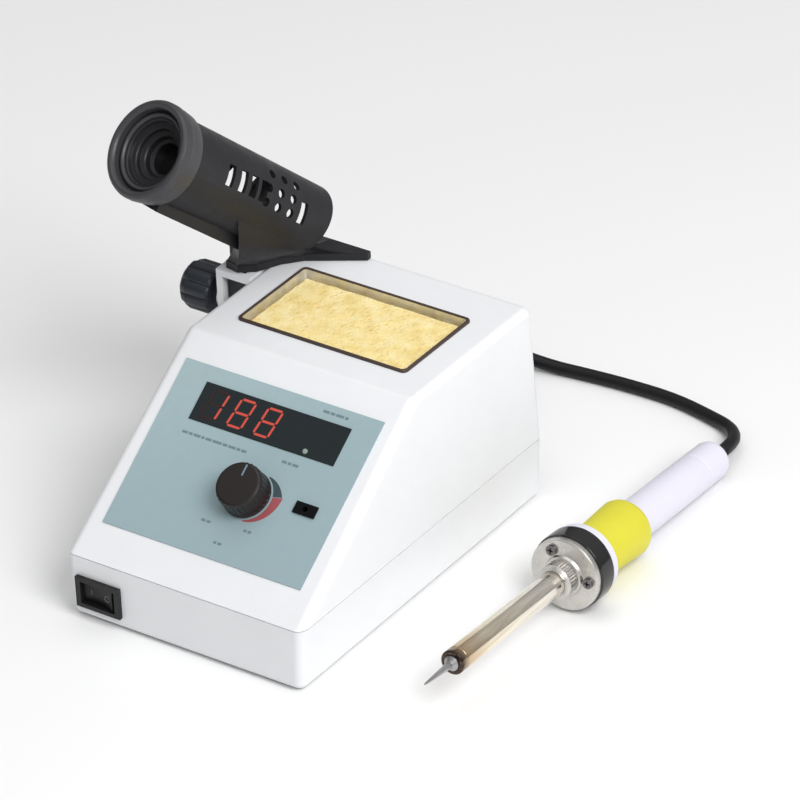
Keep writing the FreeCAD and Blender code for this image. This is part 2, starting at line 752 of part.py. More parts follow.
def keel(margin):
    """Flat-bottomed rail under the barrel, grown by a margin."""
    half, low = f"(keel_half + {margin})", f"(keel_reach + {margin})"
    length = "(keel_end - mouth_depth - 0.6)"
    return box(f"-{half}", f"-{low}", f"-keel_end - {margin}", f"2 * {half}", f"{low} - 12", length, ON_AXIS)


def holder_tube():
    """Tapered barrel, open at both ends, with vent slots, vent holes and rear windows."""
    outer = tube_cone("tube_outer", "0", "lip_depth + 2", "tube_length")
    inner = tube_cone("tube_inner", "-tube_wall", "0", "tube_length + 5")
    below = box("-120", "100", "40", "120", "100", "plate_low + plate_thick - 40")
    tools = [inner, below, box("-40", "-60", "-60", "80", "120", "60", TUBE_END)]

    def radial(depth, angle):
        return ON_AXIS + " * " + pose(z=f"-({depth})", yaw=str(angle))

    for depth in ("33", "41", "47.8", "54"):
        tools.append(box("10", "-4.4", "-2.1", "15", "8.8", "4.2", radial(depth, 20)))
    for angle, first in ((50, 59), (28, 57), (8, 57)):
        for index in range(3):
            place = radial(f"{first} + {index} * 7.8", angle) + " * " + pose("10", pitch="90")
            tools.append(rod("0", "0", "0", "15", "1.9", place))
    tools.append(box("10", "-4.4", "-2.1", "15", "8.8", "4.2", radial("80", 16)))
    tools.append(box("8", "-8.5", "-6.5", "20", "17", "16", radial("72.5", 168)))
    tools.append(box("6", "-14", "-12", "20", "28", "17", radial("97", 158)))
    return cut(fuse([outer, keel("0")]), tools, CASE)


def holder_mouth():
    """Flared ring over the front of the barrel."""
    outer = "mouth_radius"
    profile = [
        ("lip_radius", "-lip_depth"), ("lip_radius", "-1"), ("lip_radius + 1", "0"),
        (f"{outer} - 1.6", "0"), (outer, "-1.6"), (outer, "-5"), (f"{outer} - 1.2", "-mouth_depth"),
        ("tube_radius + 0.02", "-mouth_depth"), ("tube_radius + 0.02", "-lip_depth"),
    ]
    return turned("mouth", profile, HOLDER)


def holder_guide():
    """Funnel with the bore that carries the iron's barrel, held between ring and barrel."""
    back = "-lip_depth - 2"
    profile = [
        ("13", "-lip_depth"), ("tube_radius", "-lip_depth"), ("tube_radius", back), ("15", back),
        ("guide_radius + 2.2", "-15"), ("guide_radius + 2.2", "-guide_depth"),
        ("guide_radius", "-guide_depth"), ("guide_radius", "-13"),
    ]
    return turned("guide", profile, HOLDER)


def holder_pedestal():
    """Foot plate, web up to the barrel and the tongue that enters the socket."""
    plate_body = doc.addObject("PartDesign::Body", "plate")
    edge = [
        ("-68.6", "130.5"), ("-62", "129.2"), ("-55.5", "134"), ("-50.5", "143.5"), ("-44", "150.8"),
        ("-22", "164.2"), ("-22", "166.5"), ("-68.6", "166.5"),
    ]
    web_edge = [
        ("-67.5", "132"), ("-62.4", "131"), ("-56.6", "135.4"), ("-51.8", "144.5"), ("-46.5", "150.6"),
        ("-42.5", "154.5"), ("-42.5", "165.5"), ("-67.5", "165.5"),
    ]
    pad = plate_body.newObject("PartDesign::Pad", "plate_pad")
    pad.Profile = outline(plate_body, "XY_Plane", edge, "plate_low")
    bind(pad, "Length", "plate_thick")
    web_body = doc.addObject("PartDesign::Body", "web")
    web = web_body.newObject("PartDesign::Pad", "web_pad")
    web.Profile = outline(web_body, "XY_Plane", web_edge, "plate_low + 1")
    bind(web, "Length", "36")
    tongue = box(
        "tongue_left", "tongue_front", "tongue_low", "tongue_right - tongue_left",
        "tongue_rear - tongue_front", "plate_low + 1 - tongue_low",
    )
    barrel = tube_cone("web_tool", "0.02", "0", "tube_length + 8")
    over_axis = box("-40", "0", "-130", "80", "60", "130", ON_AXIS)
    behind = box("-40", "-60", "-60", "80", "120", "60", TUBE_END)
    above = box("-90", "100", "plate_low + plate_thick", "90", "100", "60")
    clear_tool = doc.addObject("Part::MultiCommon", "common")
    clear_tool.Shapes = [fuse([barrel, over_axis, behind, keel("0.02")]), above]
    return cut(fuse([plate_body, web_body, tongue]), [clear_tool], CASE)


# ---------------------------------------------------------------------------------------------
# Iron, in its own frame: local Z runs from the tip towards the handle
# ---------------------------------------------------------------------------------------------
def soldering_tip():
    reach = "-tip_reach"
    front = "-barrel_reach"
    profile = [
        ("0", reach), ("0.5", reach), ("2.1", f"{front} - 3"), ("3.3", f"{front} - 0.6"),
        ("3.3", f"{front} + 1.6"), ("4.2", f"{front} + 1.6"), ("4.2", f"{front} + 4"),
        ("3.3", f"{front} + 4"), ("3.3", f"{front} + 26"), ("0", f"{front} + 26"),
    ]
    return turned("tip", profile, IRON)


def tip_barrel():
    """Steel tube whose turned-in front edge holds the tip."""
    front = "-barrel_reach"
    radius = "barrel_radius"
    profile = [
        ("3.5", front), (f"{radius} - 0.4", front), (radius, f"{front} + 0.4"), (radius, "-1.6"),
        (f"{radius} - 0.8", "-1.6"), (f"{radius} - 0.8", f"{front} + 1.5"), ("3.5", f"{front} + 1.5"),
    ]
    return turned("barrel", profile, IRON)


def heater_rod():
    profile = [("0", "-barrel_reach + 26.2"), ("2.8", "-barrel_reach + 26.2"), ("2.8", "10"), ("0", "10")]
    return turned("heater", profile, IRON)


def barrel_nut():
    profile = [
        ("barrel_radius + 0.05", "-8"), ("6.4", "-8"), ("7.4", "-7"), ("7.4", "-1.6"),
        ("barrel_radius + 0.05", "-1.6"),
    ]
    return turned("nut", profile, IRON)


def screw_circle(radius, low, high):
    """Three rods on the flange's screw circle."""
    rods = []
    for angle in (0, 120, 240):
        place = pose(yaw=str(angle))
        rods.append(rod("flange_screw_circle", "0", low, high, radius, place))
    return rods


def flange_disc():
    """Steel heat flange with a raised boss and three screw holes."""
    profile = [
        ("3.2", "-1.6"), ("8", "-1.6"), ("8.8", "0"), ("flange_radius - 0.5", "0"),
        ("flange_radius", "0.5"), ("flange_radius", "flange_thick"), ("3.2", "flange_thick"),
    ]
    return cut(turned("flange", profile, HERE), screw_circle("1.4", "-5", "9"), IRON)


def flange_screws():
    heads = screw_circle("2.2", "-1.4", "0")
    shanks = screw_circle("1.2", "0", "9")
    return group([fuse([head, shank]) for head, shank in zip(heads, shanks)], IRON)


def insulator_ring():
    """Black insulating ring behind the flange."""
    profile = [
        ("6", "flange_thick"), ("ring_radius - 0.6", "flange_thick"),
        ("ring_radius", "flange_thick + 0.8"), ("ring_radius", "ring_end - 0.8"),
        ("ring_radius - 0.6", "ring_end"), ("6", "ring_end"),
    ]
    return cut(turned("ring", profile, HERE), screw_circle("1.25", "0", "9.5"), IRON)


def handle():
    """Hollow handle: front flange, neck, the seat of the collar and the long grip."""
    grip = "handle_radius"
    profile = [
        ("5.5", "ring_end"), ("15.4", "ring_end"), ("15.4", "ring_end + 3.6"),
        ("14.6", "ring_end + 4.4"), ("neck_radius", "ring_end + 4.4"),
        ("neck_radius", "collar_start"), (f"{grip} + 0.8", "collar_start"),
        (f"{grip} + 0.8", "collar_end"), (grip, "collar_end"), (f"{grip} - 0.15", "cap_start"),
        ("5.5", "cap_start"),
    ]
    return turned("grip", profile, IRON)


def grip_collar():
    """Coloured collar, widening towards the rear."""
    inner = "handle_radius + 0.82"
    outer = "collar_radius"
    profile = [
        (inner, "collar_start"), (f"{outer} - 2", "collar_start"), (f"{outer} - 1.3", "collar_start + 0.8"),
        (outer, "collar_end - 4"), (f"{outer} - 0.3", "collar_end - 1.6"), (f"{outer} - 1.6", "collar_end"),
        (inner, "collar_end"),
    ]
    return turned("collar", profile, IRON)


def handle_end_cap():
    outer = "handle_radius - 0.15"
    profile = [
        ("3.6", "cap_start"), (outer, "cap_start"), (f"{outer} - 0.15", "handle_end - 1.6"),
        (f"{outer} - 1.6", "handle_end"), ("3.6", "handle_end"),
    ]
    return turned("cap", profile, IRON)


def strain_relief():
    end = "cord_diameter / 2 + 0.7"
    profile = [
        ("0", "cap_start + 4"), ("3.5", "cap_start + 4"), ("3.5", "handle_end"), ("5", "handle_end"),
        ("4.8", "handle_end + 2.5"), (end, "relief_end"), ("0", "relief_end"),
    ]
    return turned("relief", profile, IRON)


# ---------------------------------------------------------------------------------------------
# Cord: gland, coil behind the case, and the lead along the bench to the iron
# ---------------------------------------------------------------------------------------------
LEAD_ROUTE = [
    (-27.3, 243.8, 2.85), (0.0, 249.9, 2.85), (20.0, 253.4, 2.85), (43.0, 255.6, 2.85), (66.5, 255.9, 2.85),
    (88.3, 251.1, 3.0), (97.2, 247.7, 3.9), (104.1, 241.2, 5.4), (107.88, 232.5, 7.09), (108.12, 223.2, 7.83),
]


def tube_along(route):
    """A round tube along straight runs joined by tangent arcs; prints its radii and checks its volume."""
    points = [FreeCAD.Vector(*point) for point in route]
    radius = size("cord_diameter / 2")
    edges, start, radii = [], points[0], []
    for before, corner, after in zip(points, points[1:], points[2:]):
        to_corner, from_corner = corner - before, after - corner
        turn = to_corner.getAngle(from_corner)
        trim = 0.45 * min(to_corner.Length, from_corner.Length)
        bend = trim / math.tan(turn / 2)
        enter = corner - to_corner.normalize() * trim
        leave = corner + from_corner.normalize() * trim
        inward = (leave + enter) * 0.5 - corner
        centre = corner + inward.normalize() * math.hypot(bend, trim)
        middle = centre + (corner - centre).normalize() * bend
        edges.append(Part.LineSegment(start, enter).toShape())
        edges.append(Part.Arc(enter, middle, leave).toShape())
        start = leave
        radii.append(round(bend, 1))
    edges.append(Part.LineSegment(start, points[-1]).toShape())
    spine = Part.Wire(edges)
    section = Part.Wire(Part.makeCircle(radius, points[0], points[1] - points[0]))
    tube = Part.BRepOffsetAPI.MakePipeShell(spine)
    tube.add(section, False, True)
    tube.build()
    tube.makeSolid()
    solid = tube.shape()
    expected = math.pi * radius**2 * spine.Length
    print("tube radii", radii, "length", round(spine.Length, 1))
    print("volume over section times length", round(solid.Volume / expected, 4))
    return solid


def free_shape(name, solid):
    item = doc.addObject("Part::Feature", name)
    item.Shape = solid
    bind(item, "Placement", CASE)
    return item


def cord_exit():
    """Straight stretch from the gland to the top of the coil."""
    start = (size("gland_x"), size("case_depth + gland_length"), size("gland_z"))
    end = (start[0], size("coil_y - 8"), 10.2)
    return free_shape("cord_exit", tube_along([start, end]))


def cord_coil():
    """Outer shape of the wound spare length: three turns wide below, two above."""
    pitch = "(cord_diameter + 0.1)"
    inner = f"coil_radius - 1.5 * {pitch}"
    middle = f"coil_radius + 0.5 * {pitch}"
    outer = f"coil_radius + 1.5 * {pitch}"
    profile = [
        (inner, "0.05"), (outer, "0.05"), (outer, pitch), (middle, pitch), (middle, f"2 * {pitch}"),
        (inner, f"2 * {pitch}"),
    ]
    return turned("coil", profile, CASE + " * " + pose("coil_x", "coil_y"))


def cord_lead():
    """Lead from the coil along the bench and round into the iron's strain relief."""
    return free_shape("cord_lead", tube_along(LEAD_ROUTE))


SUB_PARTS = [
    upper_case, base_case, case_screws, rubber_feet,
    front_label, display_window, display_module, heating_lamp, panel_board,
    potentiometer, potentiometer_nut, knob_shaft, temperature_knob,
    calibration_port, calibration_trimmer, calibration_screw,
    switch_frame, switch_rocker, sponge_tray, sponge,
    mains_inlet, inlet_pins, inlet_screws, cord_gland,
    transformer_core, transformer_coil, transformer_bracket, transformer_screws,
    board_posts, control_board, board_screws, terminal_block, board_fuse,
    holder_socket, socket_screws, clamp_insert, clamp_washer, thumb_bolt, thumb_knob,
    holder_pedestal, holder_tube, holder_mouth, holder_guide,
    soldering_tip, tip_barrel, heater_rod, barrel_nut, flange_disc, flange_screws, insulator_ring,
    handle, grip_collar, handle_end_cap, strain_relief,
    cord_exit, cord_coil, cord_lead,
]
for build in SUB_PARTS:
    keep(build.__name__, build())
doc.recompute()

faults = [item.Label for item in doc.Objects if {"Invalid", "Error"} & set(item.State)]
faults += [item.Label for item in parts if item.Shape.isNull() or not item.Shape.isValid()]
if faults:
    raise SystemExit(f"failed: {faults}")
for item in parts:
    item.Shape.exportStep(f"parts/{item.Label}.step")
print(len(parts), "sub-parts written")
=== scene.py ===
"""Soldering iron station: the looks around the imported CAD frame.

Lengths are in metres in Blender's scene and in millimetres inside the local profiles, which
MM turns into metres. A local frame is a matrix whose Z is a lathe axis or a face's normal.
"""

import json
import math

import bmesh
import bpy
from mathutils import Matrix, Vector, noise


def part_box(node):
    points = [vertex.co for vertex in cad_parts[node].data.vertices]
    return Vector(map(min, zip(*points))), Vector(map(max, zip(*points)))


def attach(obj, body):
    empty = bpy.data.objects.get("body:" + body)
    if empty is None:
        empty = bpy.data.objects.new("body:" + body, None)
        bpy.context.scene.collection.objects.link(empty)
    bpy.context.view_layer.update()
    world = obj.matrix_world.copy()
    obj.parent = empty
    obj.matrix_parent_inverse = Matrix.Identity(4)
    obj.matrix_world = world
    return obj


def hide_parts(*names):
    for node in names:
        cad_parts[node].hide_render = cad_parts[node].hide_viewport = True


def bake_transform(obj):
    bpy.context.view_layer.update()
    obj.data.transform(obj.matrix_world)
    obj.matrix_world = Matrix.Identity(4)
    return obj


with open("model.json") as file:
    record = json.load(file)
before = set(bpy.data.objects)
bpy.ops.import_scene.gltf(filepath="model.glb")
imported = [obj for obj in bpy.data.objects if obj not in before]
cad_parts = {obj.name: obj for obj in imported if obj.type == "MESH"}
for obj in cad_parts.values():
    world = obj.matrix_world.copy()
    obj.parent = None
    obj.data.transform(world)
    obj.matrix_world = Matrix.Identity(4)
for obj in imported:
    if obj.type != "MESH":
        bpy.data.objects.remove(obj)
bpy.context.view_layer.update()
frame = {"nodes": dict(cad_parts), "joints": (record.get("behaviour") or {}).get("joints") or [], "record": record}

MM = 0.001
NODES = frame["nodes"]
RECORD = frame["record"]
JOINTS = {joint["name"]: joint for joint in frame["joints"]}
MOUNTS = {mount["name"]: mount for mount in RECORD["mounts"]}


# ---------------------------------------------------------------------------------------------
# Local frames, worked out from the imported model
# ---------------------------------------------------------------------------------------------
def middle(node):
    low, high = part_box(node)
    return (low + high) / 2


def axes_at(origin, normal, across=(1, 0, 0)):
    """A matrix at origin whose Z is normal and whose X is as near to across as it can be."""
    z = Vector(normal).normalized()
    x = Vector(across)
    x = (x - z * x.dot(z)).normalized()
    turn = Matrix((x, z.cross(x), z)).transposed().to_4x4()
    return Matrix.Translation(Vector(origin)) @ turn


def shifted(place, x=0.0, y=0.0, z=0.0):
    """The same frame, moved by millimetres along its own axes."""
    return place @ Matrix.Translation(Vector((x, y, z)) * MM)


CASE_LOW, CASE_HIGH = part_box("upper_case")
CASE_MIDDLE_X = (CASE_LOW.x + CASE_HIGH.x) / 2
CASE_FRONT = CASE_LOW.y
STATION = Matrix.Translation((CASE_MIDDLE_X, CASE_FRONT, 0))
SLOPE_NORMAL = Vector(JOINTS["temperature_turn"]["axis"])
SLOPE = axes_at((CASE_MIDDLE_X, CASE_FRONT, CASE_LOW.z), SLOPE_NORMAL)
KNOB = axes_at(JOINTS["temperature_turn"]["pos_m"], SLOPE_NORMAL)
ROCKER = Matrix.Translation(Vector(JOINTS["power_rock"]["pos_m"]))

HOLDER_OUT = Vector(MOUNTS["barrel_rest"]["axis"])
GUIDE_MIDDLE_DEPTH = 15.5
HOLDER_MOUTH = Vector(MOUNTS["barrel_rest"]["pos_m"]) + HOLDER_OUT * GUIDE_MIDDLE_DEPTH * MM
HOLDER = axes_at(HOLDER_MOUTH, HOLDER_OUT)

RING_MIDDLE_DEPTH = 7.6
ring_middle = middle("insulator_ring")
tip_points = [vertex.co for vertex in NODES["soldering_tip"].data.vertices]
tip_reach = max((point - ring_middle).length for point in tip_points)
tip_end = [point for point in tip_points if (point - ring_middle).length > tip_reach - 0.05 * MM]
iron_back = (ring_middle - sum(tip_end, Vector()) / len(tip_end)).normalized()
IRON = axes_at(ring_middle - iron_back * RING_MIDDLE_DEPTH * MM, iron_back)


# ---------------------------------------------------------------------------------------------
# Materials
# ---------------------------------------------------------------------------------------------
class Shader:
    """A principled material with helpers for the procedural parts of its look."""

    def __init__(self, name, colour, rough, metal=0.0, **sockets):
        self.made = bpy.data.materials.new(name)
        self.made.use_nodes = True
        self.nodes = self.made.node_tree.nodes
        self.links = self.made.node_tree.links
        self.base = self.nodes["Principled BSDF"]
        self.base.inputs["Base Color"].default_value = (*colour, 1)
        self.base.inputs["Roughness"].default_value = rough
        self.base.inputs["Metallic"].default_value = metal
        for socket, value in sockets.items():
            self.base.inputs[socket.replace("_", " ")].default_value = value
        self.made.diffuse_color = (*colour, 1)
        self.normal = None
        self.where = self.nodes.new("ShaderNodeTexCoord").outputs["Object"]

    def noise(self, scale, detail=3.0, stretch=(1, 1, 1), rough=0.55):
        """Fractal noise; scale is in repeats for each metre."""
        texture = self.nodes.new("ShaderNodeTexNoise")
        texture.inputs["Scale"].default_value = scale
        texture.inputs["Detail"].default_value = detail
        texture.inputs["Roughness"].default_value = rough
        self.links.new(self.stretched(stretch), texture.inputs["Vector"])
        return texture.outputs["Fac"]

    def stretched(self, stretch):
        if tuple(stretch) == (1, 1, 1):
            return self.where
        mapping = self.nodes.new("ShaderNodeMapping")
        mapping.inputs["Scale"].default_value = stretch
        self.links.new(self.where, mapping.inputs["Vector"])
        return mapping.outputs["Vector"]

    def cells(self, scale, feature="F1"):
        texture = self.nodes.new("ShaderNodeTexVoronoi")
        texture.feature = feature
        texture.inputs["Scale"].default_value = scale
        self.links.new(self.where, texture.inputs["Vector"])
        return texture.outputs["Distance"]

    def ramp(self, value, stops):
        """A colour ramp over value; stops are (place, colour)."""
        node = self.nodes.new("ShaderNodeValToRGB")
        while len(node.color_ramp.elements) < len(stops):
            node.color_ramp.elements.new(0.5)
        for element, (place, colour) in zip(node.color_ramp.elements, stops):
            element.position = place
            element.color = (*colour, 1)
        self.links.new(value, node.inputs["Fac"])
        return node.outputs["Color"]

    def mapped(self, value, low, high, from_low=0.3, from_high=0.7):
        node = self.nodes.new("ShaderNodeMapRange")
        limits = {"From Min": from_low, "From Max": from_high, "To Min": low, "To Max": high}
        for socket, limit in limits.items():
            node.inputs[socket].default_value = limit
        self.links.new(value, node.inputs["Value"])
        return node.outputs["Result"]

    def along(self, origin, axis, length):
        """0 to 1 along an axis from origin."""
        offset = self.nodes.new("ShaderNodeVectorMath")
        offset.operation = "SUBTRACT"
        offset.inputs[1].default_value = origin
        self.links.new(self.where, offset.inputs[0])
        dot = self.nodes.new("ShaderNodeVectorMath")
        dot.operation = "DOT_PRODUCT"
        dot.inputs[1].default_value = Vector(axis) / length
        self.links.new(offset.outputs["Vector"], dot.inputs[0])
        return dot.outputs["Value"]

    def mix(self, share, first, second):
        """Mix two colours, each a socket or a plain colour, by a share."""
        node = self.nodes.new("ShaderNodeMix")
        node.data_type = "RGBA"
        for socket, value in ((node.inputs["A"], first), (node.inputs["B"], second)):
            if isinstance(value, bpy.types.NodeSocket):
                self.links.new(value, socket)
            else:
                socket.default_value = (*value, 1)
        self.links.new(share, node.inputs["Factor"])
        return node.outputs["Result"]

    def attribute(self, name):
        node = self.nodes.new("ShaderNodeAttribute")
        node.attribute_name = name
        return node.outputs["Fac"]

    def colour(self, socket):
        self.links.new(socket, self.base.inputs["Base Color"])

    def roughness(self, socket):
        self.links.new(socket, self.base.inputs["Roughness"])

    def bump(self, height, strength, depth):
        """Add a bump layer; depth is in metres."""
        node = self.nodes.new("ShaderNodeBump")
        node.inputs["Strength"].default_value = strength
        node.inputs["Distance"].default_value = depth
        self.links.new(height, node.inputs["Height"])
        if self.normal:
            self.links.new(self.normal, node.inputs["Normal"])
        self.normal = node.outputs["Normal"]
        self.links.new(self.normal, self.base.inputs["Normal"])


def shade(colour, amount):
    """A lighter or darker version of a colour."""
    return tuple(min(1.0, part * amount) for part in colour)


def moulded(name, colour, rough, grain=2600, grain_depth=0.02, mottle=0.05, **sockets):
    """Moulded plastic or rubber: a fine even grain, with faint clouds in colour and gloss."""
    made = Shader(name, colour, rough, **sockets)
    clouds = made.noise(60, 4)
    made.colour(made.ramp(clouds, [(0.25, shade(colour, 1 - mottle)), (0.75, shade(colour, 1 + mottle))]))
    made.roughness(made.mapped(made.noise(180, 5), rough * 0.85, rough * 1.15))
    made.bump(made.noise(grain, 2), 0.5, grain_depth * MM)
    return made.made


def metal(name, colour, rough, brush=(1, 1, 1), brush_scale=900, scratch=0.3, **sockets):
    """Turned or brushed metal: fine lines drawn out along one direction, and dull clouds."""
    made = Shader(name, colour, rough, 1.0, **sockets)
    lines = made.noise(brush_scale, 6, brush)
    made.roughness(made.mapped(lines, rough * 0.65, rough * 1.5))
    clouds = made.noise(90, 4)
    made.colour(made.ramp(clouds, [(0.3, shade(colour, 0.86)), (0.7, shade(colour, 1.08))]))
    made.bump(lines, scratch, 0.01 * MM)
    return made.made


def sponge_material():
    made = Shader("sponge_yellow", (0.86, 0.68, 0.28), 0.92, Sheen_Weight=0.2, Sheen_Roughness=0.6)
    clouds = made.noise(160, 5)
    base = made.ramp(clouds, [
        (0.3, (0.80, 0.60, 0.20)), (0.5, (0.88, 0.71, 0.30)), (0.72, (0.93, 0.80, 0.43)),
    ])
    # Painted shade in the pores: the colour turns to dark brown where the surface lies deep in a pit.
    pores = made.attribute("pore_shade")
    made.colour(made.mix(pores, base, (0.50, 0.32, 0.09)))
    made.bump(made.cells(1300), 0.6, 0.2 * MM)
    made.bump(made.noise(3000, 3), 0.5, 0.08 * MM)
    return made.made


def barrel_material():
    """Polished steel, straw-tinted by heat, brown towards the tip, drawn out in fine streaks."""
    length = 82 * MM
    made = Shader("heat_tinted_steel", (0.62, 0.52, 0.36), 0.12, 1.0)
    along = made.along(IRON.translation, -iron_back, length)
    tint = made.ramp(along, [
        (0.0, (0.94, 0.90, 0.84)), (0.3, (0.93, 0.88, 0.79)), (0.75, (0.88, 0.79, 0.62)),
        (0.94, (0.66, 0.50, 0.33)), (1.0, (0.06, 0.045, 0.04)),
    ])
    streaks = made.noise(700, 4, (1, 0.03, 1))
    made.colour(made.mix(made.mapped(streaks, 0, 0.25, 0.45, 0.65), tint, (0.30, 0.21, 0.12)))
    made.roughness(made.mapped(made.noise(500, 5), 0.07, 0.22))
    made.bump(streaks, 0.12, 0.02 * MM)
    return made.made


def label_material():
    """Printed film, blue-grey, a little lighter towards the upper left."""
    made = Shader("label_film", (0.33, 0.44, 0.47), 0.45, Specular_IOR_Level=0.35)
    upper_left = SLOPE @ (Vector((-48, 92, 0)) * MM)
    diagonal = SLOPE.to_3x3() @ Vector((0.6, -0.8, 0))
    across = made.along(upper_left, diagonal, 110 * MM)
    fade = made.ramp(across, [
        (0.0, (0.37, 0.485, 0.505)), (0.5, (0.31, 0.42, 0.45)), (1.0, (0.30, 0.40, 0.43)),
    ])
    made.colour(made.mix(made.mapped(made.noise(250, 4), 0, 0.12), fade, (0.25, 0.33, 0.36)))
    made.bump(made.noise(4200, 2), 0.25, 0.012 * MM)
    return made.made


def glowing(name, colour, strength):
    made = Shader(name, shade(colour, 0.3), 0.4, Specular_IOR_Level=0.2)
    made.base.inputs["Emission Color"].default_value = (*colour, 1)
    made.base.inputs["Emission Strength"].default_value = strength
    made.roughness(made.mapped(made.noise(900, 3), 0.3, 0.5))
    return made.made


def circuit_material():
    """Green board: copper tracks as a faint pattern under the varnish."""
    made = Shader("circuit_board", (0.03, 0.16, 0.07), 0.35, Coat_Weight=0.4)
    varnish, copper = (0.02, 0.12, 0.05), (0.06, 0.26, 0.10)
    tracks = made.noise(160, 0, (1, 1, 0.1))
    made.colour(made.ramp(tracks, [(0.47, varnish), (0.5, copper), (0.53, varnish)]))
    made.bump(made.noise(1200, 2), 0.2, 0.02 * MM)
    return made.made


def laminated(name, colour):
    """Stacked transformer sheets: thin lines across the stack."""
    made = Shader(name, colour, 0.5, 0.7)
    wave = made.nodes.new("ShaderNodeTexWave")
    wave.bands_direction = "Y"
    wave.inputs["Scale"].default_value = 300
    wave.inputs["Distortion"].default_value = 0.4
    made.links.new(made.where, wave.inputs["Vector"])
    made.colour(made.ramp(wave.outputs["Fac"], [(0.2, shade(colour, 0.5)), (0.6, shade(colour, 1.2))]))
    made.bump(wave.outputs["Fac"], 0.4, 0.1 * MM)
    return made.made


def plastic(name, colour, gloss, rough, *grain):
    """Moulded material with a stated specular level."""
    return moulded(name, colour, rough, *grain, Specular_IOR_Level=gloss)


MATERIALS = {
    "case": plastic("case_white", (0.79, 0.80, 0.82), 0.35, 0.45, 1500, 0.03, 0.015),
    "label": label_material(),
    "print": plastic("print_dark", (0.05, 0.075, 0.085), 0.2, 0.5, 4000, 0.004),
    "print_soft": plastic("print_soft", (0.16, 0.23, 0.26), 0.2, 0.5, 4000, 0.004),
    "print_red": plastic("print_red", (0.33, 0.085, 0.095), 0.2, 0.5, 4000, 0.004),
    "window": plastic("window_smoked", (0.012, 0.018, 0.020), 0.3, 0.22, 900, 0.002, 0.1),
    "digit": glowing("digit_lit", (0.58, 0.080, 0.058), 0.78),
    "digit_off": plastic("digit_unlit", (0.035, 0.016, 0.016), 0.2, 0.4, 2000, 0.004),
    "lamp": glowing("lamp_clear", (0.42, 0.52, 0.46), 0.35),
    "knob": plastic("knob_black", (0.016, 0.012, 0.012), 0.35, 0.34, 2200, 0.012, 0.15),
    "black": plastic("black_plastic", (0.012, 0.012, 0.013), 0.3, 0.38, 2400, 0.02, 0.12),
    "thumb": plastic("thumb_charcoal", (0.020, 0.024, 0.032), 0.4, 0.4, 1700, 0.03, 0.12),
    "mark": plastic("mark_grey", (0.14, 0.14, 0.15), 0.2, 0.5, 3000, 0.004, 0.05),
    # On the flange screws this near-black is painted shade for the cross recesses.
    "deep": plastic("port_black", (0.004, 0.004, 0.005), 0.1, 0.6, 2400, 0.02, 0.12),
    "holder": plastic("holder_charcoal", (0.017, 0.017, 0.020), 0.3, 0.46, 1300, 0.03, 0.12),
    # A lighter copy of the holder plastic for the mouth ring and the ring inside it: painted highlight on the
    # rims.
    "holder_rim": plastic("holder_rim", (0.045, 0.045, 0.050), 0.45, 0.4, 1500, 0.03, 0.1),
    # A darker copy of the holder plastic for the throat: painted shade inside the mouth's bore.
    "throat": plastic("holder_throat_shaded", (0.012, 0.012, 0.014), 0.35, 0.45, 1500, 0.03, 0.1),
    "tray": metal("tray_metal", (0.80, 0.78, 0.72), 0.48, (1, 1, 1), 500, 0.15),
    # Dark brown for the tray's rim and outer wall: painted shade of the gap round the tray's edge.
    "tray_rim_shade": plastic("tray_rim_painted_shade", (0.060, 0.042, 0.035), 0.3, 0.4, 1800, 0.02, 0.15),
    "sponge": sponge_material(),
    "steel": metal("zinc_steel", (0.62, 0.61, 0.58), 0.32, (1, 1, 1), 1500, 0.25),
    "nickel": metal("nickel_plate", (0.72, 0.70, 0.66), 0.2),
    "brass": metal("brass", (0.78, 0.58, 0.27), 0.25),
    "barrel": barrel_material(),
    "flange": metal("flange_steel", (0.62, 0.60, 0.57), 0.34, (1, 1, 1), 700, 0.35),
    "screw": metal("screw_blued", (0.20, 0.19, 0.19), 0.35, (1, 1, 1), 1500, 0.3),
    "tip": metal("tip_metal", (0.42, 0.41, 0.42), 0.35, (1, 1, 1), 1800, 0.4),
    "ring": plastic("ring_black", (0.006, 0.006, 0.007), 0.6, 0.10, 1600, 0.006, 0.1),
    "handle": plastic("handle_pale", (0.72, 0.71, 0.80), 0.35, 0.4, 2000, 0.02, 0.015),
    "yellow": plastic("collar_yellow", (0.65, 0.60, 0.045), 0.3, 0.45, 1700, 0.04, 0.04),
    "cord": plastic("cord_black", (0.008, 0.008, 0.009), 0.25, 0.45, 1400, 0.03, 0.12),
    "rubber": moulded("rubber_black", (0.02, 0.02, 0.02), 0.75, 1800, 0.04, 0.15),
    "board": circuit_material(),
    "blue": moulded("trimmer_blue", (0.03, 0.10, 0.34), 0.35),
    "green": moulded("terminal_green", (0.03, 0.24, 0.09), 0.4),
    "core": laminated("core_sheets", (0.16, 0.16, 0.17)),
    "tape": moulded("winding_tape", (0.62, 0.45, 0.08), 0.35, 700, 0.05, 0.08),
    "ceramic": moulded("heater_ceramic", (0.78, 0.76, 0.70), 0.5),
}

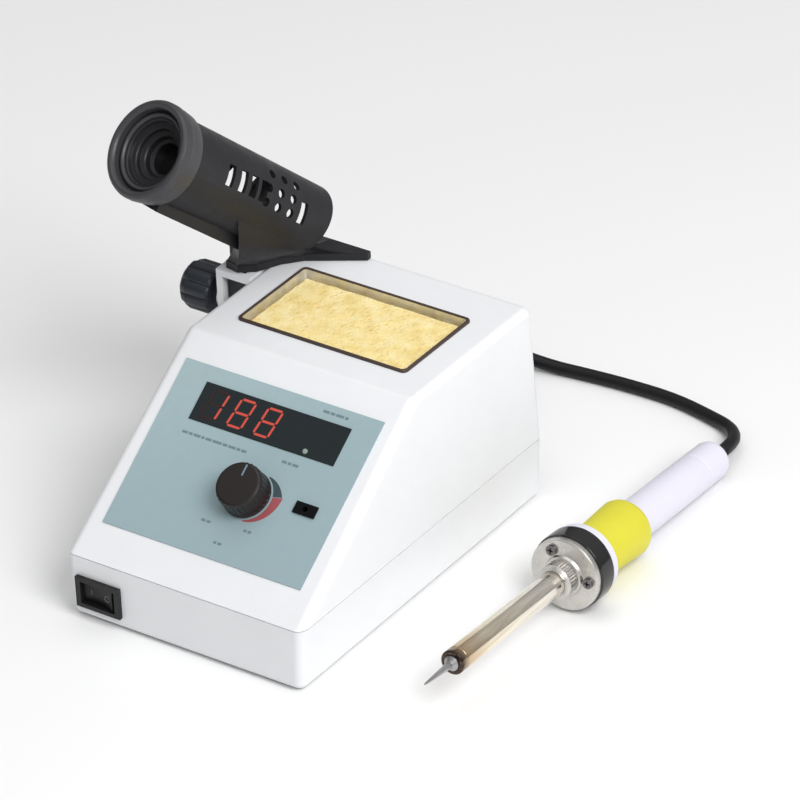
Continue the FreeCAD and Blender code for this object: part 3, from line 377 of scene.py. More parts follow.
CAD_LOOKS = {
    "case": ["upper_case", "base_case", "holder_socket", "board_posts"],
    "rubber": ["rubber_feet"],
    "label": ["front_label"],
    "window": ["display_window"],
    "black": ["display_module", "switch_frame", "mains_inlet"],
    "deep": ["calibration_port"],
    "lamp": ["heating_lamp"],
    "board": ["panel_board", "control_board"],
    "nickel": ["potentiometer", "potentiometer_nut", "knob_shaft", "inlet_pins", "board_fuse"],
    "blue": ["calibration_trimmer"],
    "brass": ["calibration_screw", "clamp_insert"],
    "steel": ["case_screws", "inlet_screws", "transformer_bracket", "transformer_screws", "board_screws",
              "socket_screws", "clamp_washer", "thumb_bolt"],
    "screw": ["flange_screws"],
    "core": ["transformer_core"],
    "tape": ["transformer_coil"],
    "green": ["terminal_block"],
    "holder": ["holder_pedestal", "holder_tube"],
    "ceramic": ["heater_rod"],
    "cord": ["cord_gland"],
}


def dress(piece, look):
    piece.data.materials.clear()
    piece.data.materials.append(MATERIALS[look])


def smooth_by_angle(piece, degrees=32):
    """Smooth shading with sharp edges where the faces meet at a larger angle."""
    piece.data.shade_smooth()
    piece.data.set_sharp_from_angle(angle=math.radians(degrees))


for look, names in CAD_LOOKS.items():
    for name in names:
        dress(NODES[name], look)


# ---------------------------------------------------------------------------------------------
# Ways of making a mesh piece
# ---------------------------------------------------------------------------------------------
def finished(name, mesh_data, look, body, replaces=(), place=None, smooth=32):
    """Turn bmesh data in local millimetres into a piece that rides on a body."""
    mesh = bpy.data.meshes.new(name)
    bmesh.ops.recalc_face_normals(mesh_data, faces=mesh_data.faces)
    mesh_data.to_mesh(mesh)
    mesh_data.free()
    if place is not None:
        mesh.transform(place @ Matrix.Scale(MM, 4))
    piece = bpy.data.objects.new(name, mesh)
    bpy.context.scene.collection.objects.link(piece)
    piece.data.materials.append(MATERIALS[look])
    if smooth:
        smooth_by_angle(piece, smooth)
    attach(piece, body)
    if replaces:
        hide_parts(*replaces)
    return piece


def rounded_corners(profile, radius, steps=4):
    """Replace the corners of an open (r, z) outline by arcs, where its sides leave room."""
    made = [profile[0]]
    for before, corner, after in zip(profile, profile[1:], profile[2:]):
        first, second = Vector(before) - Vector(corner), Vector(after) - Vector(corner)
        turn = math.pi - first.angle(second)
        if turn < math.radians(12):
            made.append(corner)
            continue
        reach = min(radius * math.tan(turn / 2), 0.45 * first.length, 0.45 * second.length)
        start = Vector(corner) + first.normalized() * reach
        end = Vector(corner) + second.normalized() * reach
        for step in range(steps + 1):
            share = step / steps
            bend = (1 - share) ** 2 * start + 2 * share * (1 - share) * Vector(corner) + share**2 * end
            made.append(tuple(bend))
    made.append(profile[-1])
    return made


def lathe(profile, segments=96, wave=None, rounding=0.25):
    """A closed solid of revolution about local Z; wave(angle, r, z) may change the radius."""
    made = bmesh.new()
    points = rounded_corners(profile, rounding) if rounding else profile
    rings = []
    for radius, height in points:
        if radius < 1e-6:
            rings.append([made.verts.new((0, 0, height))])
            continue
        ring = []
        for index in range(segments):
            angle = 2 * math.pi * index / segments
            reach = wave(angle, radius, height) if wave else radius
            ring.append(made.verts.new((reach * math.cos(angle), reach * math.sin(angle), height)))
        rings.append(ring)
    closed = len(rings[0]) > 1 and len(rings[-1]) > 1
    pairs = list(zip(rings, rings[1:] + rings[:1])) if closed else list(zip(rings, rings[1:]))
    for low, high in pairs:
        for index in range(segments):
            following = (index + 1) % segments
            corners = [low[index % len(low)], low[following % len(low)]]
            corners += [high[following % len(high)], high[index % len(high)]]
            made.faces.new(list(dict.fromkeys(corners)))
    return made


def rounded_box(width, depth, height, radius, steps=4, centre=(0, 0, 0)):
    """A box with every edge rounded."""
    made = bmesh.new()
    bmesh.ops.create_cube(made, size=1)
    for vertex in made.verts:
        vertex.co = vertex.co * Vector((width, depth, height)) + Vector(centre)
    bmesh.ops.bevel(made, geom=made.edges[:], offset=radius, segments=steps, profile=0.5, affect="EDGES")
    return made


def prism(outline, low, high):
    """A flat shape of (x, y) points, raised from low to high."""
    made = bmesh.new()
    bottom = [made.verts.new((x, y, low)) for x, y in outline]
    top = [made.verts.new((x, y, high)) for x, y in outline]
    made.faces.new(bottom)
    made.faces.new(top)
    count = len(outline)
    for index in range(count):
        following = (index + 1) % count
        made.faces.new([bottom[index], bottom[following], top[following], top[index]])
    return made


def joined(parts):
    """Several bmeshes as one."""
    made = bmesh.new()
    for part in parts:
        mesh = bpy.data.meshes.new("part")
        part.to_mesh(mesh)
        part.free()
        made.from_mesh(mesh)
        bpy.data.meshes.remove(mesh)
    return made


def subtract(piece, tool):
    """Cut a tool mesh out of a piece, and drop the tool."""
    modifier = piece.modifiers.new("cut", "BOOLEAN")
    modifier.operation = "DIFFERENCE"
    modifier.solver = "EXACT"
    modifier.object = tool
    evaluated = piece.evaluated_get(bpy.context.evaluated_depsgraph_get())
    cut_mesh = bpy.data.meshes.new_from_object(evaluated)
    piece.modifiers.clear()
    piece.data = cut_mesh
    bpy.data.objects.remove(tool)
    smooth_by_angle(piece)


# ---------------------------------------------------------------------------------------------
# Camera
# ---------------------------------------------------------------------------------------------
def aim_camera():
    azimuth, elevation, roll = math.radians(35.95), math.radians(31.57), math.radians(-2.75)
    distance = 2.63546
    aim = STATION @ Vector((0.0271, 0.1141, 0.0657))
    flat = math.cos(elevation)
    back = Vector((math.sin(azimuth) * flat, -math.cos(azimuth) * flat, math.sin(elevation)))
    level = (-back).cross(Vector((0, 0, 1))).normalized()
    upright = level.cross(-back)
    right = level * math.cos(roll) + upright * math.sin(roll)
    up = upright * math.cos(roll) - level * math.sin(roll)
    data = bpy.data.cameras.new("camera")
    data.lens = 297.16
    data.sensor_width = 36
    data.clip_start, data.clip_end = 0.1, 20
    camera = bpy.data.objects.new("camera", data)
    bpy.context.scene.collection.objects.link(camera)
    turn = Matrix((right, up, back)).transposed().to_4x4()
    camera.matrix_world = Matrix.Translation(aim + back * distance) @ turn
    bpy.context.scene.camera = camera


# ---------------------------------------------------------------------------------------------
# Cord
# ---------------------------------------------------------------------------------------------
CORD_DIAMETER = 5.5
COIL_CENTRE = (-20.0, 211.0)
POINTS_PER_TURN = 16
# Station frame, millimetres: the stretch from the gland and the lead to the iron
FROM_GLAND = [
    (-48.0, 188.0, 14.0), (-48.0, 194.0, 14.2), (-48.0, 200.0, 14.2), (-48.0, 206.0, 13.3),
]
LEAD_ROUTE = [
    (-8.0, 247.9, 6.4), (8.0, 251.3, 3.3), (22.0, 253.7, 2.85), (43.0, 255.6, 2.85), (66.5, 255.9, 2.85),
    (88.3, 251.1, 3.0), (97.2, 247.7, 3.9), (104.1, 241.2, 5.4), (107.88, 232.5, 7.09), (108.12, 223.2, 7.83),
]


def coil_turns():
    """The wound turns: two above, spiralling in, then three below, spiralling out and up again."""
    first_angle, last_angle, whole_turns = 180.0, 102.5, 5
    inner, between, outer = 22.4, 28.0, 33.6
    lower, upper, from_gland = 2.85, 8.45, 12.2
    # turns wound so far, and the radius or height reached there
    radius_steps = [
        (0.0, between), (0.75, between), (1.0, inner), (2.6, inner), (2.85, between), (3.6, between),
        (3.85, outer), (9.0, outer),
    ]
    height_steps = [
        (0.0, from_gland), (0.12, upper), (1.68, upper), (1.93, lower), (4.5, lower), (4.7, upper),
        (9.0, upper),
    ]
    turns = whole_turns + (first_angle - last_angle) / 360
    count = round(turns * POINTS_PER_TURN)
    corner = 1 / math.cos(math.pi / POINTS_PER_TURN)

    def stepped(steps, at):
        for (low, first), (high, second) in zip(steps, steps[1:]):
            if at <= high:
                share = (at - low) / (high - low)
                return first + (second - first) * share * share * (3 - 2 * share)

    made = []
    for index in range(1, count + 1):
        at = turns * index / count
        angle = math.radians(first_angle - 360 * at)
        radius = stepped(radius_steps, at) * corner
        made.append((
            COIL_CENTRE[0] + radius * math.cos(angle), COIL_CENTRE[1] + radius * math.sin(angle),
            stepped(height_steps, at),
        ))
    return made


def smooth_line(points):
    """The NURBS curve that has the given control points, read as a fine line of points."""
    data = bpy.data.curves.new("line", "CURVE")
    data.dimensions = "3D"
    data.resolution_u = 6
    spline = data.splines.new("NURBS")
    spline.points.add(len(points) - 1)
    for control, point in zip(spline.points, points):
        control.co = (*point, 1)
    spline.order_u = 3
    spline.use_endpoint_u = True
    curve = bpy.data.objects.new("line", data)
    bpy.context.scene.collection.objects.link(curve)
    mesh = bpy.data.meshes.new_from_object(curve)
    line = [vertex.co.copy() for vertex in mesh.vertices]
    bpy.data.objects.remove(curve)
    bpy.data.meshes.remove(mesh)
    return line


def tube_mesh(line, radius, sides=14):
    """A round tube along a line of points, its section carried along without twist."""
    made = bmesh.new()
    count = len(line)
    across = None
    rings = []
    for index, point in enumerate(line):
        ahead = (line[min(index + 1, count - 1)] - line[max(index - 1, 0)]).normalized()
        across = ahead.orthogonal() if across is None else across - ahead * across.dot(ahead)
        across.normalize()
        side = ahead.cross(across)
        ring = []
        for step in range(sides):
            angle = 2 * math.pi * step / sides
            outward = across * math.cos(angle) + side * math.sin(angle)
            ring.append(made.verts.new(point + outward * radius))
        rings.append(ring)
    for first, second in zip(rings, rings[1:]):
        for step in range(sides):
            following = (step + 1) % sides
            made.faces.new([first[step], first[following], second[following], second[step]])
    made.faces.new(rings[0])
    made.faces.new(rings[-1])
    return made


def iron_cord():
    points = [STATION @ (Vector(point) * MM) for point in FROM_GLAND + coil_turns() + LEAD_ROUTE]
    line = smooth_line(points)
    mesh = bpy.data.meshes.new("iron_cord")
    made = tube_mesh(line, CORD_DIAMETER / 2 * MM)
    bmesh.ops.recalc_face_normals(made, faces=made.faces)
    made.to_mesh(mesh)
    made.free()
    cord = bpy.data.objects.new("iron_cord", mesh)
    bpy.context.scene.collection.objects.link(cord)
    mesh.materials.append(MATERIALS["cord"])
    mesh.shade_smooth()
    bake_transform(cord)
    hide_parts("cord_exit", "cord_coil", "cord_lead")


# ---------------------------------------------------------------------------------------------
# Front panel
# ---------------------------------------------------------------------------------------------
LABEL_TOP = 0.6
WINDOW_TOP = 1.0
PRINT_DEPTH = 0.06
SEGMENTS_OF = {"1": "bc", "8": "abcdefg"}
FIRST_DIGIT_X, DIGIT_LOW, DIGIT_PITCH = -29.8, 70.6, 13.0


def digit_bars(left, low, character):
    """Seven bars of one leaning digit: (lit, outline) pairs in the panel's frame."""
    width, tall, bar, lean, cut_back = 6.9, 12.0, 1.0, 0.12, 0.3
    half = tall / 2
    rows = {"a": tall, "g": half, "d": 0.0}
    columns = {"f": (0.0, half), "e": (0.0, 0.0), "b": (width, half), "c": (width, 0.0)}
    made = []
    for key in "abcdefg":
        if key in rows:
            y = rows[key]
            inset = cut_back + bar / 2
            outline = [
                (inset - bar / 2, y), (inset, y + bar / 2), (width - inset, y + bar / 2),
                (width - inset + bar / 2, y), (width - inset, y - bar / 2), (inset, y - bar / 2),
            ]
        else:
            x, base = columns[key]
            start, end = base + cut_back, base + half - cut_back
            outline = [
                (x, start), (x + bar / 2, start + bar / 2), (x + bar / 2, end - bar / 2), (x, end),
                (x - bar / 2, end - bar / 2), (x - bar / 2, start + bar / 2),
            ]
        leaning = [(left + x + y * lean, low + y) for x, y in outline]
        made.append((key in SEGMENTS_OF.get(character, ""), leaning))
    return made


def display_digits():
    bars = {True: [], False: []}
    for place, character in enumerate("188"):
        for lit, outline in digit_bars(FIRST_DIGIT_X + place * DIGIT_PITCH, DIGIT_LOW, character):
            bars[lit].append(prism(outline, WINDOW_TOP, WINDOW_TOP + PRINT_DEPTH))
    for name, lit, look in (
        ("display_digits_lit", True, "digit"), ("display_digits_unlit", False, "digit_off"),
    ):
        finished(name, joined(bars[lit]), look, "station", place=SLOPE, smooth=None)


def dial_wedge(start, end, thick, steps=40):
    """Crescent round the knob: an arc that widens from start to end, in degrees from local +X."""
    inner, thin = 10.8, 0.5
    inside, outside = [], []
    for step in range(steps + 1):
        share = step / steps
        angle = math.radians(start + (end - start) * share)
        reach = inner + thin + (thick - thin) * share
        inside.append((inner * math.cos(angle), inner * math.sin(angle)))
        outside.append((reach * math.cos(angle), reach * math.sin(angle)))
    return inside + outside[::-1]


def bar(x, y, width, tall):
    return [(x, y), (x + width, y), (x + width, y + tall), (x, y + tall)]


def panel_print():
    """Generic printed marks: the dial's crescent, and small rules in place of words."""
    depth = (LABEL_TOP, LABEL_TOP + PRINT_DEPTH)
    knob_middle = shifted(SLOPE, 7, 46)
    for name, look, wedge in (
        ("dial_scale_dark", "print", dial_wedge(62, 13, 4.2)),
        ("dial_scale_red", "print_red", dial_wedge(-75, 12, 4.6)),
    ):
        finished(name, prism(wedge, *depth), look, "station", place=knob_middle, smooth=None)
    rule_height, rule_gap = 1.1, 0.6
    rules = []
    for x, y, widths in (
        (-34.0, 61.9, (2.6, 1.8, 3.2, 1.4, 2.8, 4.4, 2.2, 3.4, 1.6, 2.4)),
        (14.0, 63.0, (2.2, 1.6, 2.8)), (20.5, 88.0, (3.0, 2.0, 3.6, 1.6)),
        (-7.2, 30.0, (2.0, 1.8)), (2.6, 22.8, (1.4, 1.8)), (12.6, 31.2, (1.4, 1.6)),
    ):
        for width in widths:
            rules.append(prism(bar(x, y, width, rule_height), *depth))
            x += width + rule_gap
    finished("panel_rules", joined(rules), "print_soft", "station", place=SLOPE, smooth=None)


def temperature_knob():
    ridges, depth = 28, 0.32

    def fluted(angle, radius, height):
        on_side = radius > 9.4 and 2.4 < height < 10.2
        return radius - depth * (0.5 + 0.5 * math.cos(angle * ridges)) if on_side else radius

    profile = [
        (3.2, 5.4), (8.2, 5.4), (8.2, 1.4), (10.4, 1.4), (10.4, 2.2), (10.25, 2.6), (10.0, 10.0),
        (9.4, 11.0), (8.6, 11.35), (0, 11.4),
    ]
    body = lathe(profile, 224, fluted, 0.3)
    finished("temperature_knob_cap", body, "knob", "temperature_knob", ["temperature_knob"], KNOB)
    line = rounded_box(0.8, 5.0, 0.16, 0.07, 2, (0, 6.2, 11.36))
    finished("temperature_knob_line", line, "print_soft", "temperature_knob", place=KNOB)


def switch_pieces():
    """Rocker with an arched face, and a bar and a ring raised on it."""
    width, tall, tilt = 15.2, 9.2, 8.0
    made = bmesh.new()
    columns, rows = 32, 8
    grid = []
    for column in range(columns + 1):
        x = -width / 2 + width * column / columns
        face = -1.9 - 1.3 * (x / (width / 2)) ** 2
        grid.append([
            (x, face + 0.25 * (2 * row / rows - 1) ** 4, -tall / 2 + tall * row / rows)
            for row in range(rows + 1)
        ])
    front = [[made.verts.new(point) for point in line] for line in grid]
    back = [[made.verts.new((x, 1.2, z)) for x, _, z in line] for line in grid]
    for sheet in (front, back):
        for first, second in zip(sheet, sheet[1:]):
            for row in range(rows):
                made.faces.new([first[row], first[row + 1], second[row + 1], second[row]])
    edge = [(c, 0) for c in range(columns)] + [(columns, r) for r in range(rows)]
    edge += [(c, rows) for c in range(columns, 0, -1)] + [(0, r) for r in range(rows, 0, -1)]
    for (c0, r0), (c1, r1) in zip(edge, edge[1:] + edge[:1]):
        made.faces.new([front[c0][r0], front[c1][r1], back[c1][r1], back[c0][r0]])
    place = ROCKER @ Matrix.Rotation(math.radians(-tilt), 4, "Z")
    finished("switch_rocker_cap", made, "black", "power_rocker", ["switch_rocker"], place)
    marks = [rounded_box(0.5, 0.24, 2.8, 0.08, 2, (-4.3, -2.42, 0))]
    ring = lathe([(1.05, -0.12), (1.5, -0.12), (1.5, 0.12), (1.05, 0.12)], 40, None, 0.05)
    ring.transform(Matrix.Translation((4.3, -2.42, 0)) @ Matrix.Rotation(math.radians(90), 4, "X"))
    marks.append(ring)
    finished("switch_marks", joined(marks), "mark", "power_rocker", place=place)


# ---------------------------------------------------------------------------------------------
# Tray and sponge
# ---------------------------------------------------------------------------------------------
def rectangle_loop(made, low, high, height, radius, steps=5):
    """A rounded rectangle of vertices, in millimetres."""
    (x0, y0), (x1, y1) = low, high
    ring = []
    for cx, cy, start in ((x1 - radius, y1 - radius, 0), (x0 + radius, y1 - radius, 90),
                          (x0 + radius, y0 + radius, 180), (x1 - radius, y0 + radius, 270)):
        for step in range(steps + 1):
            angle = math.radians(start + 90 * step / steps)
            x, y = cx + radius * math.cos(angle), cy + radius * math.sin(angle)
            ring.append(made.verts.new((x, y, height)))
    return ring


def sponge_tray():
    low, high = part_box("sponge_tray")
    low, high = low / MM, high / MM
    made = bmesh.new()
    floor_z, rim_z, case_top = low.z, high.z, 90.0
    # inset from the rim's outer edge, height, corner radius
    sections = [
        (1.4, floor_z, 1.2), (1.0, floor_z + 0.5, 1.6), (1.0, case_top, 1.6), (0.0, case_top, 2.2),
        (0.0, rim_z - 0.4, 2.2), (0.15, rim_z - 0.1, 2.1), (0.4, rim_z, 2.0), (0.9, rim_z, 1.8),
        (1.15, rim_z - 0.12, 1.7), (1.25, rim_z - 0.5, 1.6), (1.8, floor_z + 1.8, 1.4),
        (2.4, floor_z + 0.8, 1.0),
    ]
    # The ledge, outer wall and top of the rim get the dark brown, painted shade for the gap at the tray's edge;
    # the inner wall and floor stay metal.
    shaded_rim_bands = range(2, 9)
    rings = [
        rectangle_loop(made, (low.x + inset, low.y + inset), (high.x - inset, high.y - inset), height, radius)
        for inset, height, radius in sections
    ]
    count = len(rings[0])
    for index, (first, second) in enumerate(zip(rings, rings[1:])):
        for step in range(count):
            following = (step + 1) % count
            face = made.faces.new([first[step], first[following], second[following], second[step]])
            face.material_index = 1 if index in shaded_rim_bands else 0
    made.faces.new(rings[0])
    made.faces.new(rings[-1])
    piece = finished("sponge_tray_tub", made, "tray", "station", ["sponge_tray"], Matrix.Identity(4), 50)
    piece.data.materials.append(MATERIALS["tray_rim_shade"])


def pore_depth(point):
    """How deep the sponge's surface lies below its envelope at a point in millimetres."""
    large = noise.voronoi(point * 0.36 + Vector((3.1, 7.7, 1.3)))[0][0]
    small = noise.voronoi(point * 0.95)[0][0]
    big_pit = max(0.0, 0.34 - large) / 0.34
    small_pit = max(0.0, 0.38 - small) / 0.38
    return min(1.0, 0.7 * big_pit**1.3 + 0.5 * small_pit**1.2)


def sponge():
    """Cut cellulose sponge: softly rounded block, its faces pitted with pores."""
    low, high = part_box("sponge")
    low, high = low / MM, high / MM
    size, centre = high - low, (high + low) / 2
    made = bmesh.new()
    bmesh.ops.create_cube(made, size=2)
    bmesh.ops.subdivide_edges(made, edges=made.edges[:], cuts=1, use_grid_fill=True)
    for axis, cuts in enumerate((95, 52, 7)):
        edges = [e for e in made.edges if abs((e.verts[0].co - e.verts[1].co)[axis]) > 0.5]
        bmesh.ops.subdivide_edges(made, edges=edges, cuts=cuts, use_grid_fill=True)
    pores = {}
    corner = 1.6
    half = size / 2
    for vertex in made.verts:
        flat = vertex.co * half
        inner = Vector([max(-half[i] + corner, min(half[i] - corner, flat[i])) for i in range(3)])
        outward = flat - inner
        if outward.length < 1e-6:
            outward = Vector((0, 0, vertex.co.z))
        rounded = inner + outward.normalized() * min(corner, outward.length)
        pit = pore_depth(rounded + centre)
        wave = 0.35 * noise.noise((rounded + centre) * 0.07)
        outline = 0.5 * noise.noise(Vector((rounded.x, rounded.y, 0)) * 0.09)
        moved = rounded - outward.normalized() * (pit * 0.9 + 0.25 + abs(wave) + abs(outline))
        pores[vertex.index] = pit
        vertex.co = moved + centre
    # The pit depths also darken the sponge's colour, as painted shade in the pores.
    values = [pores[index] for index in range(len(made.verts))]
    piece = finished("sponge_block", made, "sponge", "sponge", ["sponge"], Matrix.Identity(4), 80)
    attribute = piece.data.attributes.new("pore_shade", "FLOAT", "POINT")
    attribute.data.foreach_set("value", values)


# ---------------------------------------------------------------------------------------------
# Holder
# ---------------------------------------------------------------------------------------------
def holder_pieces():
    mouth = [
        (17.3, -4.6), (17.3, -1.4), (17.9, -0.5), (18.7, 0.0), (19.6, 0.0), (20.6, -0.7), (21.0, -1.9),
        (21.0, -4.6), (20.7, -5.2), (20.5, -8.0), (20.0, -11.5), (19.6, -12.0), (18.75, -12.0),
        (18.75, -4.6),
    ]
    mouth_ring = lathe(mouth, 128, None, 0.35)
    finished("holder_mouth_ring", mouth_ring, "holder_rim", "holder", ["holder_mouth"], HOLDER)
    throat = [
        (18.6, -4.6), (14.0, -4.6), (13.4, -5.1), (12.9, -6.6), (11.1, -6.9), (10.7, -7.4), (10.4, -9.2),
        (8.9, -9.6), (8.4, -10.2), (8.0, -12.4), (6.6, -13.0), (6.55, -18.0), (8.7, -18.0), (8.7, -15.0),
        (15.0, -6.6), (18.6, -6.6),
    ]
    finished("holder_throat_shaded", lathe(throat, 128, None, 0.3), "throat", "holder", ["holder_guide"], HOLDER)
    step = [(14.6, -4.8), (14.6, -4.0), (15.1, -3.3), (15.8, -3.2), (16.3, -3.8), (16.3, -4.8)]
    finished("holder_throat_ring", lathe(step, 128, None, 0.2), "holder_rim", "holder", place=HOLDER)
    pedestal_flare()


def pedestal_flare():
    """Gusset that rises from the foot plate, leaning forward, to the lower right side of the barrel."""
    plate = [
        (-68.4, 130.7), (-62, 129.4), (-55.7, 134.1), (-50.7, 143.6), (-44.1, 151.0), (-22.2, 164.3),
        (-22.2, 166.3), (-68.4, 166.3),
    ]
    top = [
        (-62.5, 131), (-50.5, 116.5), (-48.4, 123.5), (-45.5, 134.5), (-42.5, 146), (-40.5, 154),
        (-40.5, 165.5), (-67.5, 165.5),
    ]
    base, crest, fall, lowest, levels = 93.4, 129.0, 0.84, 94.2, 16
    front = top[1][1]
    made = bmesh.new()
    rings = []
    for level in range(levels + 1):
        share = level / levels
        spread = (1 - share) ** 2.8
        ring = []
        for (px, py), (tx, ty) in zip(plate, top):
            height = max(lowest, crest - fall * (ty - front)) - base
            x, y = tx + (px - tx) * spread, ty + (py - ty) * spread
            ring.append(made.verts.new((x, y, base + height * share)))
        rings.append(ring)
    for first, second in zip(rings, rings[1:]):
        for step in range(len(plate)):
            following = (step + 1) % len(plate)
            made.faces.new([first[step], first[following], second[following], second[step]])
    made.faces.new(rings[0])
    made.faces.new(rings[-1])
    bmesh.ops.triangulate(made, faces=made.faces[:])
    flare = finished("pedestal_flare", made, "holder", "holder", place=STATION, smooth=40)
    subtract(flare, barrel_tool())


def barrel_tool():
    """A cone that ends half a millimetre inside the barrel's outer face."""
    front, rear = (18.24, 2), (15.85, -120)
    cone = bpy.data.objects.new("barrel_tool", bpy.data.meshes.new("barrel_tool"))
    bpy.context.scene.collection.objects.link(cone)
    lathe([(0, front[1]), front, rear, (0, rear[1])]).to_mesh(cone.data)
    cone.data.transform(HOLDER @ Matrix.Scale(MM, 4))
    return cone


def thumb_knob():
    """Fluted knob: ten broad lobes, a chamfered outer face with a dished centre."""
    lobes, depth = 10, 1.1
    low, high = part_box("thumb_knob")
    centre = (low + high) / 2
    inner_face = Vector((high.x, centre.y, centre.z))
    place = axes_at(inner_face, (-1, 0, 0), (0, 1, 0))

    def lobed(angle, radius, height):
        if radius < 8.2 or height < 2.4:
            return radius
        hollow = abs(math.sin(angle * lobes / 2)) ** 0.7
        return radius - depth * (1 - hollow) * min(1.0, (radius - 8.2) / 1.0)

    profile = [
        (2.6, 0.0), (5.4, 0.0), (5.4, 2.2), (9.4, 2.2), (10.3, 3.0), (10.6, 5.0), (10.6, 13.6), (9.8, 15.8),
        (8.4, 17.0), (7.0, 17.2), (6.2, 16.6), (0, 16.4),
    ]
    grip = lathe(profile, 240, lobed, 0.4)
    finished("thumb_knob_grip", grip, "thumb", "thumb_screw", ["thumb_knob"], place, 40)


# ---------------------------------------------------------------------------------------------
# Iron
# ---------------------------------------------------------------------------------------------
def iron_pieces():
    def part(name, node, look, profile, segments=96, wave=None, rounding=0.25):
        return finished(name, lathe(profile, segments, wave, rounding), look, "iron", [node], IRON)

    part("tip_cone", "soldering_tip", "tip", [
        (0, -102.0), (0.3, -101.8), (0.5, -100.6), (1.0, -93.0), (1.45, -86.0), (1.6, -84.2), (3.2, -82.9),
        (3.25, -80.8), (4.15, -80.6), (4.15, -78.4), (3.25, -78.3), (3.25, -56.6), (0, -56.6),
    ], 48, None, 0.15)
    part("barrel_tube", "tip_barrel", "barrel", [
        (3.55, -82.35), (4.7, -82.4), (5.15, -82.0), (5.2, -81.4), (5.2, -79.2), (5.0, -79.0), (5.0, -78.4),
        (5.2, -78.2), (5.2, -1.6), (4.4, -1.6), (4.4, -80.9), (3.55, -80.9),
    ], 72, None, 0.12)

    def knurl(angle, radius, height):
        if radius <= 7.1 or height <= -6.6:
            return radius
        return radius - 0.28 * (0.5 + 0.5 * math.cos(angle * 36))

    part("nut_ring", "barrel_nut", "flange", [
        (5.3, -7.9), (6.3, -8.0), (7.3, -7.0), (7.4, -6.6), (7.4, -1.7), (5.3, -1.7),
    ], 180, knurl, 0.12)
    part("ring_insulator", "insulator_ring", "ring", [
        (6.0, 2.8), (15.5, 2.8), (16.1, 3.3), (16.2, 4.0), (16.2, 11.2), (16.0, 12.0), (15.5, 12.4),
        (6.0, 12.4),
    ], 128, None, 0.4)
    part("handle_grip", "handle", "handle", [
        (5.5, 12.4), (15.3, 12.4), (15.4, 12.8), (15.4, 15.9), (14.8, 16.6), (11.3, 16.8), (10.4, 17.3),
        (10.4, 19.0), (9.4, 19.0), (9.4, 48.5), (8.6, 48.5), (8.6, 60.0), (8.45, 99.6), (8.2, 100.0),
        (5.5, 100.0),
    ], 96, None, 0.3)
    part("collar_grip", "grip_collar", "yellow", [
        (9.5, 19.0), (10.4, 19.0), (10.9, 19.4), (11.2, 20.6), (12.4, 43.6), (12.5, 45.2), (12.1, 46.8),
        (11.0, 48.3), (10.4, 48.5), (9.5, 48.5),
    ], 96, None, 0.9)
    part("handle_cap", "handle_end_cap", "handle", [
        (3.7, 100.0), (8.2, 100.0), (8.45, 100.4), (8.3, 113.6), (7.9, 115.2), (6.9, 115.9),
        (6.2, 116.0), (3.7, 116.0),
    ], 96, None, 0.6)
    part("relief_sleeve", "strain_relief", "cord", [
        (0, 104.2), (3.5, 104.2), (3.5, 115.9), (5.0, 116.0), (4.95, 117.2), (4.4, 117.5), (4.4, 118.1),
        (4.75, 118.4), (4.5, 119.2), (4.0, 119.5), (4.0, 120.0), (3.8, 120.3), (3.45, 121.0), (0, 121.0),
    ], 64, None, 0.2)
    part("flange_plate", "flange_disc", "flange", [
        (3.2, -1.6), (7.8, -1.6), (8.3, -1.3), (8.8, 0.0), (14.9, 0.0), (15.5, 0.5), (15.5, 2.8), (3.2, 2.8),
    ], 128, None, 0.2)
    screw_cross_shade()
    mark = rounded_box(0.8, 0.16, 5.0, 0.07, 2, (0, 8.4, 88.0))
    towards_right = Matrix.Rotation(math.radians(150), 4, "Z")
    finished("handle_mark", mark, "print", "iron", place=IRON @ towards_right)


def screw_cross_shade():
    """Painted shade for the cross recess in each flange screw: a dark cross laid on the head, not cut into it."""
    head_face, head_width = -1.35, 6
    to_iron = IRON.inverted()
    heads = []
    for vertex in NODES["flange_screws"].data.vertices:
        spot = (to_iron @ vertex.co) / MM
        if spot.z > head_face:
            continue
        near = [head for head in heads if (head[0] - spot).length < head_width]
        if near:
            near[0].append(spot)
        else:
            heads.append([spot])
    bars = []
    for head in heads:
        centre = sum(head, Vector()) / len(head)
        for size in ((2.6, 0.6), (0.6, 2.6)):
            bars.append(rounded_box(*size, 0.14, 0.05, 2, (centre.x, centre.y, -1.42)))
    finished("screw_cross_shade", joined(bars), "deep", "iron", place=IRON)


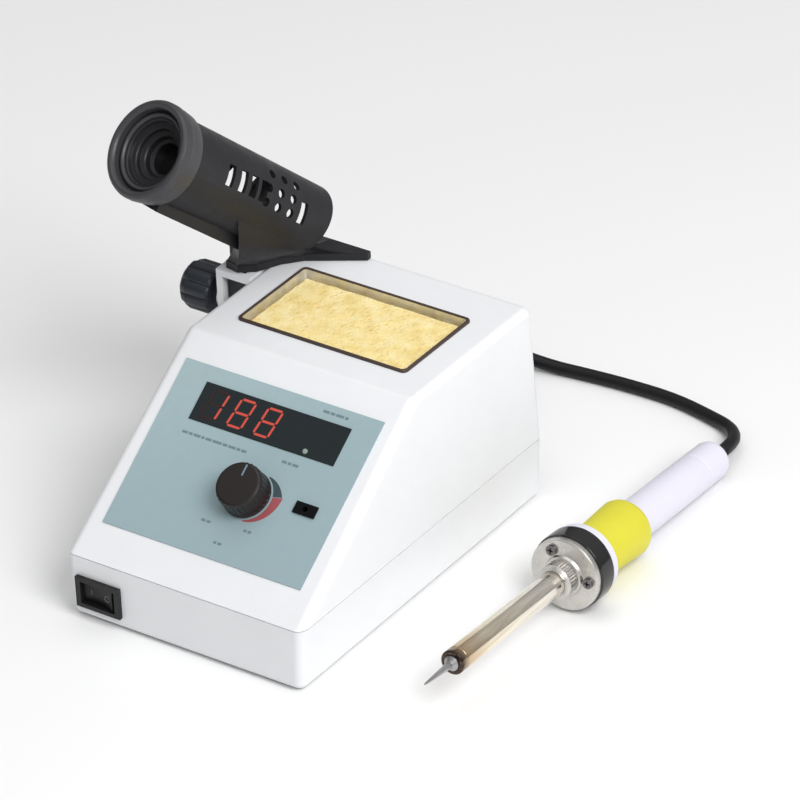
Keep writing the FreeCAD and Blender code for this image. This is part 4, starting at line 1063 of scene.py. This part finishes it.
# ---------------------------------------------------------------------------------------------
# Floor and light
# ---------------------------------------------------------------------------------------------
def floor():
    made = bmesh.new()
    bmesh.ops.create_grid(made, x_segments=1, y_segments=1, size=6)
    mesh = bpy.data.meshes.new("floor")
    made.to_mesh(mesh)
    made.free()
    plane = bpy.data.objects.new("floor", mesh)
    bpy.context.scene.collection.objects.link(plane)
    pale = Shader("floor_pale", (0.9, 0.9, 0.9), 0.7)
    pale.roughness(pale.mapped(pale.noise(3, 2), 0.65, 0.75))
    mesh.materials.append(pale.made)


def soft_light(name, place, aim, size, power):
    data = bpy.data.lights.new(name, "AREA")
    data.shape = "DISK"
    data.size = size
    data.energy = power
    light = bpy.data.objects.new(name, data)
    bpy.context.scene.collection.objects.link(light)
    light.location = place
    light.rotation_mode = "QUATERNION"
    light.rotation_quaternion = (Vector(aim) - Vector(place)).to_track_quat("-Z", "Y")


def lighting():
    world = bpy.data.worlds.new("studio")
    bpy.context.scene.world = world
    world.use_nodes = True
    nodes, links = world.node_tree.nodes, world.node_tree.links
    tilt = nodes.new("ShaderNodeVectorMath")
    tilt.operation = "DOT_PRODUCT"
    tilt.inputs[1].default_value = (0.35, 0, 0.94)
    links.new(nodes.new("ShaderNodeTexCoord").outputs["Generated"], tilt.inputs[0])
    fade = nodes.new("ShaderNodeValToRGB")
    fade.color_ramp.elements.new(0.5)
    for element, (height, level) in zip(fade.color_ramp.elements, ((0.0, 0.14), (0.4, 0.42), (1.0, 0.72))):
        element.position = height
        element.color = (level, level, level, 1)
    links.new(tilt.outputs["Value"], fade.inputs["Fac"])
    links.new(fade.outputs["Color"], nodes["Background"].inputs["Color"])
    soft_light("key", (1.13, -0.5, 1.25), (0, 0, 0.05), 1.0, 21)
    soft_light("top", (-0.2, 0.1, 1.8), (0, 0, 0.05), 1.2, 4)
    bpy.context.scene.view_settings.view_transform = "Standard"


aim_camera()
iron_cord()
display_digits()
panel_print()
temperature_knob()
switch_pieces()
sponge_tray()
sponge()
holder_pieces()
thumb_knob()
iron_pieces()
for node in NODES.values():
    if not node.hide_render:
        smooth_by_angle(node)
floor()
lighting()
